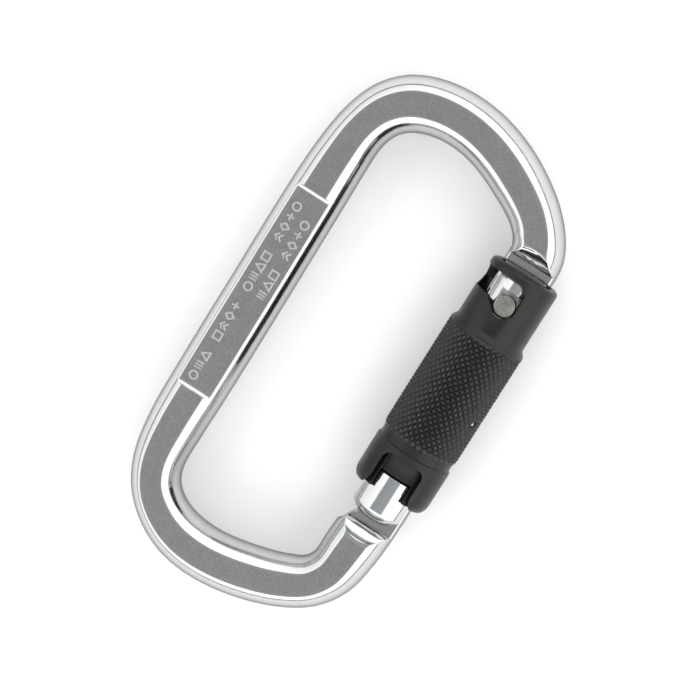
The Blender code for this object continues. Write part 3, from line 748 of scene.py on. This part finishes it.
def on_hinge_arc(radius, x):
    """The point of an arc about the hinge axis that lies x from the gate's axis."""
    return (AXIS_X + x, PIVOT_Y + math.sqrt(radius**2 - x**2))


def hinge_arc(radius, x_from, x_to, steps=12):
    return [on_hinge_arc(radius, x_from + (x_to - x_from) * i / steps) for i in range(steps + 1)]


def nose_cutters():
    """The nose's end, and a keyway for the blade that is open towards the spine."""
    far, foot = CUT_REACH, NOSE_CUT_FOOT_Y
    end = hinge_arc(NOSE_ARC, -far, far) + [(AXIS_X + far, foot), (AXIS_X - far, foot)]
    keyway = [
        *hinge_arc(HOOK_ARCS[1] + GAP, -far, HOOK_X + GAP),
        *hinge_arc(HOOK_ARCS[0] - GAP, HOOK_X + GAP, BLADE_X[1] + GAP, 3),
        on_hinge_arc(KEYWAY_ROOT_ARC, BLADE_X[1] + GAP),
        on_hinge_arc(KEYWAY_ROOT_ARC, -far),
    ]
    half = BLADE_HALF + GAP
    return [prism(end, -far, far), prism(keyway, -half, half)]


def build_frame(polished, satin, milled):
    bar = frame_loft([polished, satin, milled])
    pivot = (AXIS_X, PIVOT_Y, 0)
    hole = rod(HINGE_PIN_RADIUS + GAP, -CUT_REACH, CUT_REACH, pivot, UP)
    shape_with(bar, [tongue_cutter(), *nose_cutters(), hole])

    def machined(p):
        on_tongue = TONGUE_SPAN_Y[0] < p.y < TONGUE_SPAN_Y[1]
        on_nose = NOSE_SPAN_Y[0] < p.y < NOSE_SPAN_Y[1]
        return p.x > 10 and (on_tongue or on_nose)

    soften(bar, FRAME_EDGE, machined)
    placed(bar, "frame", "bar_metal", "frame_bar")


# -------- raised marks on the plate


# Marks as strokes, and whether each stroke is closed: ring, bars, triangle, square, chevrons,
# diamond and cross
MARKS = [
    ([arc((0, 0), 0.85, 0, 330, 11)], True),
    ([[(x, -0.85), (x, 0.85)] for x in (-0.6, 0, 0.6)], False),
    ([[(-0.9, -0.75), (0.9, -0.75), (0, 0.9)]], True),
    ([[(-0.8, -0.8), (0.8, -0.8), (0.8, 0.8), (-0.8, 0.8)]], True),
    ([[(-0.8, y - 0.4), (0, y + 0.4), (0.8, y - 0.4)] for y in (-0.4, 0.4)], False),
    ([[(0, -0.95), (0.75, 0), (0, 0.95), (-0.75, 0)]], True),
    ([[(-0.8, 0), (0.8, 0)], [(0, 0.15), (0, 0.85)], [(0, -0.85), (0, -0.15)]], False),
]
# Rows of marks: place across the plate, where the row starts, and how many places it has
MARK_ROWS = [(-1.55, -20.6, 18), (1.75, 0.5, 9)]
MARK_PITCH = 2.35
MARK_GROUP, MARK_SPACE = 5, 3  # in each group of five places, the one with this number is empty
MARK_LINE = 0.15  # unit of a raised line's width
MARK_RISE = 0.2
MARK_SINK = 0.03
MARK_SECTION = ((1.35, -MARK_SINK), (0.75, MARK_RISE), (-0.75, MARK_RISE), (-1.35, -MARK_SINK))


def ribbon(bm, points, closed, place):
    """A raised line along points, with sloping sides."""
    count = len(points)
    points = [Vector(p) for p in points]
    rings = []
    for i, here in enumerate(points):
        if closed:
            before, after = points[i - 1], points[(i + 1) % count]
        else:
            before, after = points[max(i - 1, 0)], points[min(i + 1, count - 1)]
        into, out = here - before, after - here
        into = (into if into.length else out).normalized()
        out = out.normalized() if out.length else into
        normal = Vector((-(into + out).y, (into + out).x)).normalized()
        widen = 1 / max(normal.dot(Vector((-out.y, out.x))), 0.4)
        ring = []
        for side, z in MARK_SECTION:
            spot = here + normal * side * MARK_LINE * widen
            ring.append(bm.verts.new(place @ Vector((spot.x, spot.y, z))))
        rings.append(ring)
    join_rings(bm, rings + rings[:1] if closed else rings)
    if not closed:
        bm.faces.new(rings[0])
        bm.faces.new(rings[-1])


def build_marks(material):
    """Rows of plain raised shapes on the front plate."""
    bm = bmesh.new()
    kind = 0
    for across, start, count in MARK_ROWS:
        for i in range(count):
            if i % MARK_GROUP == MARK_SPACE:
                continue
            strokes, closed = MARKS[kind % len(MARKS)]
            kind += 1
            spot = Vector((PLATE_X + across, start + i * MARK_PITCH, PLATE_Z))
            place = Matrix.Translation(spot) @ Matrix.Rotation(math.pi / 2, 4, "Z")
            for stroke in strokes:
                ribbon(bm, stroke, closed, Matrix.Scale(MM, 4) @ place)
    marks = finished_object("plate_marks_front", bm, [material], 25)
    placed(marks, "frame", "bar_metal")


# -------- gate


def gate_profile():
    profile = [(radius, y - PIVOT_Y) for radius, y in EAR_END]
    shoulder = EAR_SHOULDER_Y - PIVOT_Y
    top = GATE_TOP_Y - PIVOT_Y
    profile += [(EAR_RADIUS, shoulder - 0.5), (EAR_RADIUS - 0.12, shoulder - 0.2)]
    profile += [(GATE_RADIUS + 0.1, shoulder - 0.05), (GATE_RADIUS, shoulder)]
    profile += [(GATE_RADIUS, top - 0.6), (GATE_RADIUS - 0.2, top - 0.2), (GATE_RADIUS - 0.6, top)]
    return profile + [(0, top)]


def gate_head(looks):
    head = hinge_arc(HEAD_ARC, -HEAD_HALF_WIDTH, HEAD_HALF_WIDTH)
    head += [(AXIS_X + HEAD_HALF_WIDTH, HEAD_ROOT_Y), (AXIS_X - HEAD_HALF_WIDTH, HEAD_ROOT_Y)]
    blade = [
        *hinge_arc(HOOK_ARCS[1], BLADE_X[0], HOOK_X),
        *hinge_arc(HOOK_ARCS[0], HOOK_X, BLADE_X[1], 3),
        (AXIS_X + BLADE_X[1], BLADE_ROOT_Y),
        (AXIS_X + BLADE_X[0], BLADE_ROOT_Y),
    ]
    return [
        prism(head, -NOSE_HALF, NOSE_HALF, materials=looks),
        prism(blade, -BLADE_HALF, BLADE_HALF, materials=looks),
    ]


def box_across(ys, low, high, look):
    """A cutter right across the gate, between two heights."""
    near, far = AXIS_X - CUT_REACH, AXIS_X + CUT_REACH
    outline = [(near, ys[0]), (far, ys[0]), (far, ys[1]), (near, ys[1])]
    return prism(outline, low, high, [look])


def build_gate(polished, milled):
    gate = turned("gate", gate_profile(), (AXIS_X, PIVOT_Y, 0), ALONG, [polished, milled], 120)
    shape_with(gate, gate_head([polished, milled]), "UNION")
    slot_half = TONGUE_HALF + GAP
    slot = box_across((EAR_END[0][1] - 2, SLOT_TOP_Y), -slot_half, slot_half, polished)
    seat = box_across(PIN_SEAT_Y, PIN_SEAT_Z, CUT_REACH, polished)
    bore = rod(BORE_RADIUS, SLOT_TOP_Y - 1, BORE_TOP_Y, (AXIS_X, 0, 0), ALONG)
    spot, bottom = (AXIS_X, GUIDE_PIN_Y, 0), GUIDE_SHANK_END_Z - GAP
    hole = rod(GUIDE_SHANK_RADIUS + FIT, bottom, CUT_REACH, spot, UP)
    reach = HINGE_PIN_HALF + FIT
    pocket = rod(HINGE_PIN_RADIUS + FIT, -reach, reach, (AXIS_X, PIVOT_Y, 0), UP)
    shape_with(gate, [slot, seat, bore, hole, pocket])
    soften(gate, GATE_EDGE, lambda p: p.y < EAR_SHOULDER_Y + 5.8 or 20 < p.y < GATE_TOP_Y)
    for face in gate.data.polygons:
        middle = face.center / MM
        on_seat = abs(middle.z - PIN_SEAT_Z) < 0.01 and PIN_SEAT_Y[0] < middle.y < PIN_SEAT_Y[1]
        on_head = middle.y > GATE_TOP_Y + 0.01
        face.material_index = 1 if on_seat or on_head else 0
    placed(gate, "gate", "gate_metal", "gate_bar")


def guide_pin_profile():
    """A domed head with fine turned rings, a small dimple and a bevelled rim."""
    count = 44
    rim = GUIDE_PIN_RADIUS - GUIDE_RIM
    profile = [(0, GUIDE_HEAD_TOP - DIMPLE["depth"])]
    for i in range(1, count + 1):
        radius = rim * i / count
        drop = radius**2 / (2 * GUIDE_DOME)
        ridge = TURNED_RING["height"] * math.cos(math.tau * radius / TURNED_RING["pitch"])
        dimple = DIMPLE["depth"] * math.exp(-((radius / DIMPLE["radius"]) ** 2))
        profile.append((radius, GUIDE_HEAD_TOP - 0.02 - drop + ridge - dimple))
    low = profile[-1][1]
    profile += arc((rim, low - GUIDE_RIM), GUIDE_RIM, 80, 0, 5)
    seat = PIN_SEAT_Z + GAP
    profile += [(GUIDE_PIN_RADIUS, seat + 0.1), (GUIDE_PIN_RADIUS - 0.1, seat)]
    profile += [(GUIDE_SHANK_RADIUS, seat), (GUIDE_SHANK_RADIUS, GUIDE_SHANK_END_Z)]
    return profile + [(0, GUIDE_SHANK_END_Z)]


def build_small_pins(head_steel, steel):
    spot = (AXIS_X, GUIDE_PIN_Y, 0)
    guide = turned("guide_pin_head", guide_pin_profile(), spot, UP, [head_steel], 96, 60)
    placed(guide, "gate", "pin_steel", "guide_pin")
    low, high = KEY_PIN_SPAN
    crown = arc((0, high - 0.62), KEY_PIN_RADIUS, 90, 10, 8)
    profile = [(0, low), (KEY_PIN_RADIUS - 0.1, low), (KEY_PIN_RADIUS, low + 0.1)]
    profile += [(r, h) for r, h in reversed(crown)]
    profile[-1] = (0, profile[-1][1])
    key = turned("key_pin", profile, (AXIS_X, KEY_PIN_Y, 0), KEY_PIN_WAY, [steel], 32)
    placed(key, "sleeve", "pin_steel", "sleeve_key_pin")


def build_plunger(steel):
    tip = [(0, -TIP_RADIUS), *arc((0, 0), TIP_RADIUS, -80, 0, 12)]
    top = PLUNGER_TOP_Y - PIVOT_Y - TIP_HEIGHT
    body = [(PLUNGER_RADIUS - 0.06, 0.2), (PLUNGER_RADIUS, 0.35)]
    body += [(PLUNGER_RADIUS, top - 0.3), (PLUNGER_RADIUS - 0.3, top), (0, top)]
    plunger = turned("plunger", tip + body, (AXIS_X, PIVOT_Y + TIP_HEIGHT, 0), ALONG, [steel], 48)
    placed(plunger, "plunger", "pin_steel", "gate_plunger")


# -------- sleeve


def outer_envelope(y):
    """The sleeve's radius at its knurl, with the chamfer at its foot."""
    share = (y - KNURL_FOOT["y"]) / KNURL_FOOT["length"]
    return min(KNURL_RADIUS, NECK_RADIUS + share * (KNURL_RADIUS - NECK_RADIUS))


def sleeve_top_profile():
    corner = 1.0
    points = [(TOP_BORE, SLEEVE_TOP_Y - 0.25), (TOP_BORE + 0.07, SLEEVE_TOP_Y - 0.07)]
    points.append((TOP_BORE + 0.25, SLEEVE_TOP_Y))
    points += arc((COLLAR_RADIUS - corner, SLEEVE_TOP_Y - corner), corner, 90, 0, 8)
    points += [(COLLAR_RADIUS, y) for y in (24.0, 18.85)]
    points += [(COLLAR_RADIUS + 0.04, 18.68), (COLLAR_RADIUS + 0.12, 18.5)]
    return points + [(KNURL_RADIUS - 0.1, 17.62), (KNURL_RADIUS - 0.03, 17.5)]


def sleeve_foot_profile():
    points = [(NECK_RADIUS + 0.02, -8.45), (NECK_RADIUS, -8.6), (NECK_RADIUS, -9.85)]
    points += [(NECK_RADIUS + 0.05, -10.0), (KNURL_RADIUS - 0.15, -10.1)]
    points += [(KNURL_RADIUS - 0.03, -10.2), (KNURL_RADIUS, -10.35)]
    points += [(KNURL_RADIUS, -10.9), (KNURL_RADIUS - 0.035, -10.98), (KNURL_RADIUS, -11.06)]
    points += [(KNURL_RADIUS, -18.0), (KNURL_RADIUS - 0.05, -18.5), (KNURL_RADIUS - 0.2, -19.05)]
    points += [(KNURL_RADIUS - 0.4, -19.5), (KNURL_RADIUS - 0.62, -19.85)]
    points.append((KNURL_RADIUS - 0.85, SLEEVE_FOOT_Y))
    return points + [(FOOT_BORE + 0.12, SLEEVE_FOOT_Y), (FOOT_BORE, SLEEVE_FOOT_Y + 0.12)]


def sleeve_bore_profile():
    points = [(FOOT_BORE, -13.0), (FOOT_BORE, FOOT_BORE_TOP_Y), (KEYED_BORE, FOOT_BORE_TOP_Y + 0.4)]
    points += [(KEYED_BORE, CHAMBER_Y[0]), (CHAMBER_RADIUS, CHAMBER_Y[0] + 0.5)]
    return points + [(CHAMBER_RADIUS, CHAMBER_Y[1]), (TOP_BORE, CHAMBER_Y[1]), (TOP_BORE, 24.0)]


def on_sleeve(bm, radius, y, turn):
    """A corner at a radius and a turn round the sleeve's axis, counted from the front."""
    spot = Vector((AXIS_X + radius * math.sin(turn), y, radius * math.cos(turn)))
    return bm.verts.new(spot * MM)


def sleeve_ring(bm, radius, y):
    columns = 2 * KNURLS
    return [on_sleeve(bm, radius, y, math.tau * c / columns) for c in range(columns)]


def knurl_faces(bm, above, below, crest):
    """Diamonds between two plain rings: each has a small worn land on top, and four sides that
    fall to the crossings of the grooves. Above and below are those rings."""
    columns = 2 * KNURLS
    pitch = (KNURL_Y[1] - KNURL_Y[0]) / KNURL_ROWS

    def corner(column, row, radius):
        y = KNURL_Y[1] - row * pitch
        return on_sleeve(bm, min(radius, outer_envelope(y)), y, math.tau * column / columns)

    def add(*corners):
        bm.faces.new(corners).material_index = 1

    crossings = {}
    for row in range(1, KNURL_ROWS):
        for c in range(columns):
            if (c + row) % 2 == 0:
                crossings[c, row] = corner(c, row, KNURL_RADIUS - KNURL_DEPTH)
    for c in range(columns):
        crossings[c, 0] = above[c]
        crossings[c, KNURL_ROWS] = below[c]
    for row in range(1, KNURL_ROWS):
        for c in range(columns):
            if (c + row) % 2 == 0:
                continue
            ways = ((0, -1), (1, 0), (0, 1), (-1, 0))
            land = CREST_LAND
            tops = [corner(c + a * land, row + b * land, KNURL_RADIUS) for a, b in ways]
            for top in tops:
                top[crest] = 1.0
            around = [crossings[(c + a) % columns, row + b] for a, b in ways]
            add(*tops)
            for k in range(4):
                m = (k + 1) % 4
                add(around[k], around[m], tops[m], tops[k])
    for row, ring in ((1, above), (KNURL_ROWS - 1, below)):
        for c in range(columns):
            if (c + row) % 2 == 0:
                add(ring[(c - 1) % columns], ring[c], crossings[c, row])
                add(ring[c], ring[(c + 1) % columns], crossings[c, row])


def wrapped_cutter(stations, inner, outer):
    """A solid wrapped round the sleeve's axis. Each station gives an angle from the front
    towards the spine, a sideways offset from it, and the lowest and highest y there."""
    bm = bmesh.new()
    rings = []
    for angle, offset, low, high in stations:
        ring = []
        for radius, y in ((inner, low), (outer, low), (outer, high), (inner, high)):
            turn = angle + math.asin(offset / radius)
            ring.append(on_sleeve(bm, radius, y, -turn))
        rings.append(ring)
    join_rings(bm, rings)
    bm.faces.new(rings[0])
    bm.faces.new(rings[-1])
    return finished_object("cutter", bm, ())


def window_stations():
    """The L-shaped window: a pocket for the guide pin in front, and a quarter turn's arm."""
    stations = []
    for angle in np.linspace(-86, 60, 22):
        share = math.sin(math.radians(angle))
        half = WINDOW_HALF * math.sqrt(1 - share**2)
        low, high = GUIDE_PIN_Y - half, WINDOW_Y + half
        if share > 0:
            low, high = min(low, WINDOW_Y - WINDOW_HALF), WINDOW_Y + WINDOW_HALF
        stations.append((0, share * WINDOW_HALF, low, high))
    for degrees in np.linspace(30, 90, 16):
        stations.append((math.radians(degrees), 0, WINDOW_Y - WINDOW_HALF, WINDOW_Y + WINDOW_HALF))
    for angle in np.linspace(8, 86, 10):
        half = WINDOW_HALF * math.cos(math.radians(angle))
        offset = WINDOW_HALF * math.sin(math.radians(angle))
        stations.append((math.pi / 2, offset, WINDOW_Y - half, WINDOW_Y + half))
    return stations


def relief_stations():
    low = GUIDE_PIN_Y - WINDOW_HALF - 0.1
    high = GUIDE_PIN_Y + WINDOW_HALF
    return [(math.radians(degrees), 0, low, high) for degrees in np.linspace(-26, 116, 36)]


def notch_cutter():
    """Round corners at the top, straight sides, and a mouth that flares."""
    corner = (NOTCH_HALF - NOTCH_CORNER, NOTCH_TOP_Y - NOTCH_CORNER)
    right = arc(corner, NOTCH_CORNER, 90, 0, 10)
    right += [(NOTCH_HALF, -17.4), (NOTCH_HALF + 0.08, -18.1), (NOTCH_HALF + 0.35, -18.9)]
    right += [(NOTCH_HALF + 0.75, -19.6), (NOTCH_HALF + 1.2, -20.3)]
    left = [(-x, y) for x, y in reversed(right)]
    outline = [(AXIS_X + x, y) for x, y in right + left]
    return prism(outline, -CUT_REACH, CUT_REACH)


def build_sleeve(black, knurled):
    bm = bmesh.new()
    crest = bm.verts.layers.float.new("crest")
    upper = [sleeve_ring(bm, r, y) for r, y in sleeve_top_profile()]
    above = sleeve_ring(bm, KNURL_RADIUS, KNURL_Y[1])
    below = sleeve_ring(bm, KNURL_RADIUS - KNURL_DEPTH, KNURL_Y[0])
    lower = [sleeve_ring(bm, r, y) for r, y in sleeve_foot_profile()]
    bore = [sleeve_ring(bm, r, y) for r, y in sleeve_bore_profile()]
    join_rings(bm, upper + [above])
    knurl_faces(bm, above, below, crest)
    join_rings(bm, [below] + lower + bore + [upper[0]])
    sleeve = finished_object("sleeve", bm, [black, knurled], 24)
    spot, radius = (AXIS_X, KEY_PIN_Y, 0), KEY_PIN_RADIUS + 0.08
    cutters = [
        wrapped_cutter(window_stations(), *WALL_CUT),
        wrapped_cutter(relief_stations(), WALL_CUT[0], RELIEF_RADIUS),
        notch_cutter(),
        rod(radius, 5, CUT_REACH, spot, KEY_PIN_WAY, 24),
    ]
    shape_with(sleeve, cutters)

    def on_opening(p):
        radius = math.hypot(p.x - AXIS_X, p.z)
        in_window = WINDOW_SPAN_Y[0] < p.y < WINDOW_SPAN_Y[1]
        in_notch = p.y < NOTCH_TOP_Y + 0.2 and abs(p.x - AXIS_X) < NOTCH_HALF + 1.45
        return (in_window or in_notch) and radius > COLLAR_RADIUS - 0.19

    soften(sleeve, SLEEVE_EDGE, on_opening, 24)
    placed(sleeve, "sleeve", "sleeve_black", "locking_sleeve")


# -------- bush, washer and springs


def build_bush(plastic, steel):
    inner, outer = BUSH_RADII
    skirt_inner, skirt_outer = SKIRT_RADII
    foot, shoulder = SKIRT_Y
    profile = [(outer - 0.1, BUSH_TOP_Y), (outer, BUSH_TOP_Y - 0.1), (outer, shoulder + 0.4)]
    profile += [(skirt_outer, shoulder), (skirt_outer, foot + 0.1), (skirt_outer - 0.1, foot)]
    profile += [(skirt_inner, foot), (skirt_inner, SKIRT_NOTCH_TOP_Y)]
    profile += [(inner, SKIRT_NOTCH_TOP_Y), (inner, BUSH_TOP_Y)]
    bush = turned("bush", profile, (AXIS_X, 0, 0), ALONG, [plastic], 120)
    half, top = SKIRT_NOTCH_HALF, SKIRT_NOTCH_TOP_Y + 0.01
    notch = [(-half, foot - 1), (half, foot - 1), (half, top), (-half, top)]
    reach = KEY_PIN_RADIUS + GAP
    low, high = KEY_PIN_Y - SLIDE - reach, KEY_PIN_Y + reach
    groove = [(-reach, low), (reach, low), (reach, high), (-reach, high)]
    groove = prism(groove, WALL_CUT[0], CHAMBER_RADIUS - 0.1)
    turn = Matrix.Rotation(KEY_PIN_TURN, 4, "Y")
    groove.data.transform(Matrix.Translation((AXIS_X * MM, 0, 0)) @ turn)
    notch = [(AXIS_X + x, y) for x, y in notch]
    shape_with(bush, [prism(notch, -CUT_REACH, CUT_REACH), groove])
    placed(bush, "bush", "bush_plastic", "guide_bush")
    inner, outer = WASHER_RADII
    low, high = WASHER_Y
    rim = 0.08
    profile = [(outer - rim, high), (outer, high - rim), (outer, low + rim), (outer - rim, low)]
    profile += [(inner + rim, low), (inner, low + rim), (inner, high - rim), (inner + rim, high)]
    washer = turned("washer", profile, (AXIS_X, 0, 0), ALONG, [steel], 96)
    placed(washer, "bush", "pin_steel", "thrust_washer")


def coil_points(radius, wire, low, high, turns):
    """The middle line of a compression spring with closed end turns."""
    steps_per_turn = 36
    closed = 2 * wire + 0.1
    middle_rise = (high - low - 2 * wire - 2 * closed) / (turns - 2)
    points = []
    for i in range(steps_per_turn * turns + 1):
        turned_by = i / steps_per_turn
        rise = min(turned_by, 1) * closed
        rise += min(max(turned_by - 1, 0), turns - 2) * middle_rise
        rise += max(turned_by - turns + 1, 0) * closed
        angle = math.tau * turned_by
        x, z = AXIS_X + radius * math.cos(angle), radius * math.sin(angle)
        points.append((x, low + wire + rise, z))
    return points


def build_spring(name, size, look, body, node):
    spring = swept(name, coil_points(**size), size["wire"], [look])
    return placed(spring, body, "spring_steel", node)


def build_springs(look):
    """Each spring goes on one body, with a mesh of its own."""
    sleeve_spring = build_spring("spring_of_sleeve", SLEEVE_SPRING, look, "bush", "sleeve_spring")
    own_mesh(sleeve_spring)
    gate_spring = build_spring("spring_of_gate", GATE_SPRING, look, "gate", "gate_spring")
    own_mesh(gate_spring)


# -------- studio


def build_floor():
    bm = bmesh.new()
    bmesh.ops.create_circle(bm, cap_ends=True, segments=64, radius=1.2)
    floor = finished_object("floor", bm, [plain_floor()])
    floor.location.z = FLOOR_Z


# Colours of the surround, by height from -1 below to 1 above
SURROUND = [
    (-0.06, (0.80, 0.82, 0.81)),
    (-0.02, (0.12, 0.13, 0.13)),
    (0.05, (0.12, 0.13, 0.13)),
    (0.12, (0.95, 0.96, 0.96)),
    (0.45, (1.0, 1.0, 1.0)),
]
PANEL_COLOUR = (0.25, 0.255, 0.268)
PANEL_X, PANEL_Y = (0.385, 0.465), (0.50, 0.58)  # where the panel starts and ends to fade
LIGHT = 2.06


def build_world():
    """A bright surround that is dimmer on the spine's side, with a grey panel overhead and a
    thin dark line at the horizon."""
    world = bpy.data.worlds.new("studio")
    world.use_nodes = True
    nodes = Nodes(world.node_tree)
    place = nodes.add("TexCoord", "Generated", {})
    split = nodes.tree.nodes.new("ShaderNodeSeparateXYZ")
    nodes.link(place, split.inputs["Vector"])
    x, y, z = (split.outputs[axis] for axis in "XYZ")
    ramp = nodes.tree.nodes.new("ShaderNodeValToRGB")
    nodes.link(nodes.remap(z, -1, 1, 0, 1), ramp.inputs["Fac"])
    points = ramp.color_ramp.elements
    while len(points) < len(SURROUND):
        points.new(0.5)
    for point, (height, colour) in zip(points, SURROUND):
        point.position = (height + 1) / 2
        point.color = (*colour, 1)
    across = nodes.remap(nodes.combine("ABSOLUTE", x), *PANEL_X, 1, 0)
    along = nodes.remap(nodes.combine("ABSOLUTE", y), *PANEL_Y, 1, 0)
    above = nodes.remap(z, 0.1, 0.2, 0, 1)
    panel = nodes.combine("MULTIPLY", nodes.combine("MULTIPLY", across, along), above)
    shade = nodes.tree.nodes.new("ShaderNodeVectorMath")
    shade.operation = "SCALE"
    nodes.link(nodes.blend(panel, ramp.outputs["Color"], PANEL_COLOUR), shade.inputs["Vector"])
    nodes.link(nodes.remap(x, -0.95, 0.05, 0.68, 1), shade.inputs["Scale"])
    background = nodes.tree.nodes["Background"]
    nodes.link(shade.outputs["Vector"], background.inputs["Color"])
    background.inputs["Strength"].default_value = LIGHT
    bpy.context.scene.world = world


def build_camera():
    camera = bpy.data.objects.new("camera", bpy.data.cameras.new("camera"))
    bpy.context.scene.collection.objects.link(camera)
    camera.data.sensor_width = 36
    camera.data.lens = VIEW_LENS
    camera.data.clip_start, camera.data.clip_end = 0.01, 10
    back = VIEW_FROM.normalized()
    roll = math.radians(VIEW_ROLL_DEG)
    upwards = Vector((-math.sin(roll), math.cos(roll), 0))
    right = upwards.cross(back).normalized()
    upwards = back.cross(right)
    turn = Matrix((right, upwards, back)).transposed().to_4x4()
    camera.matrix_world = Matrix.Translation(VIEW_TARGET + back * VIEW_DISTANCE) @ turn
    bpy.context.scene.camera = camera


def build():
    polished, satin, milled = polished_metal(), satin_metal(), milled_metal()
    steel = turned_metal("turned_steel", (0.40, 0.385, 0.365), (0.50, 0.485, 0.46), 0.30)
    head_steel = turned_metal("worn_steel", (0.24, 0.232, 0.213), (0.295, 0.285, 0.263), 0.30)
    rubbed = turned_metal("rubbed_aluminium", (0.86, 0.87, 0.86), (0.95, 0.96, 0.95), 0.22)
    spring_steel = turned_metal("drawn_wire", (0.30, 0.30, 0.30), (0.42, 0.42, 0.42), 0.28)
    plastic = moulded_plastic()
    build_frame(polished, satin, milled)
    build_marks(rubbed)
    build_gate(polished, milled)
    build_small_pins(head_steel, steel)
    build_plunger(steel)
    build_sleeve(black_anodised(), knurled_black())
    build_bush(plastic, steel)
    build_springs(spring_steel)
    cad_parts["hinge_pin"].data.materials.clear()
    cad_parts["hinge_pin"].data.materials.append(steel)
    build_floor()
    build_world()
    build_camera()
    bpy.context.scene.view_settings.view_transform = "Standard"


build()
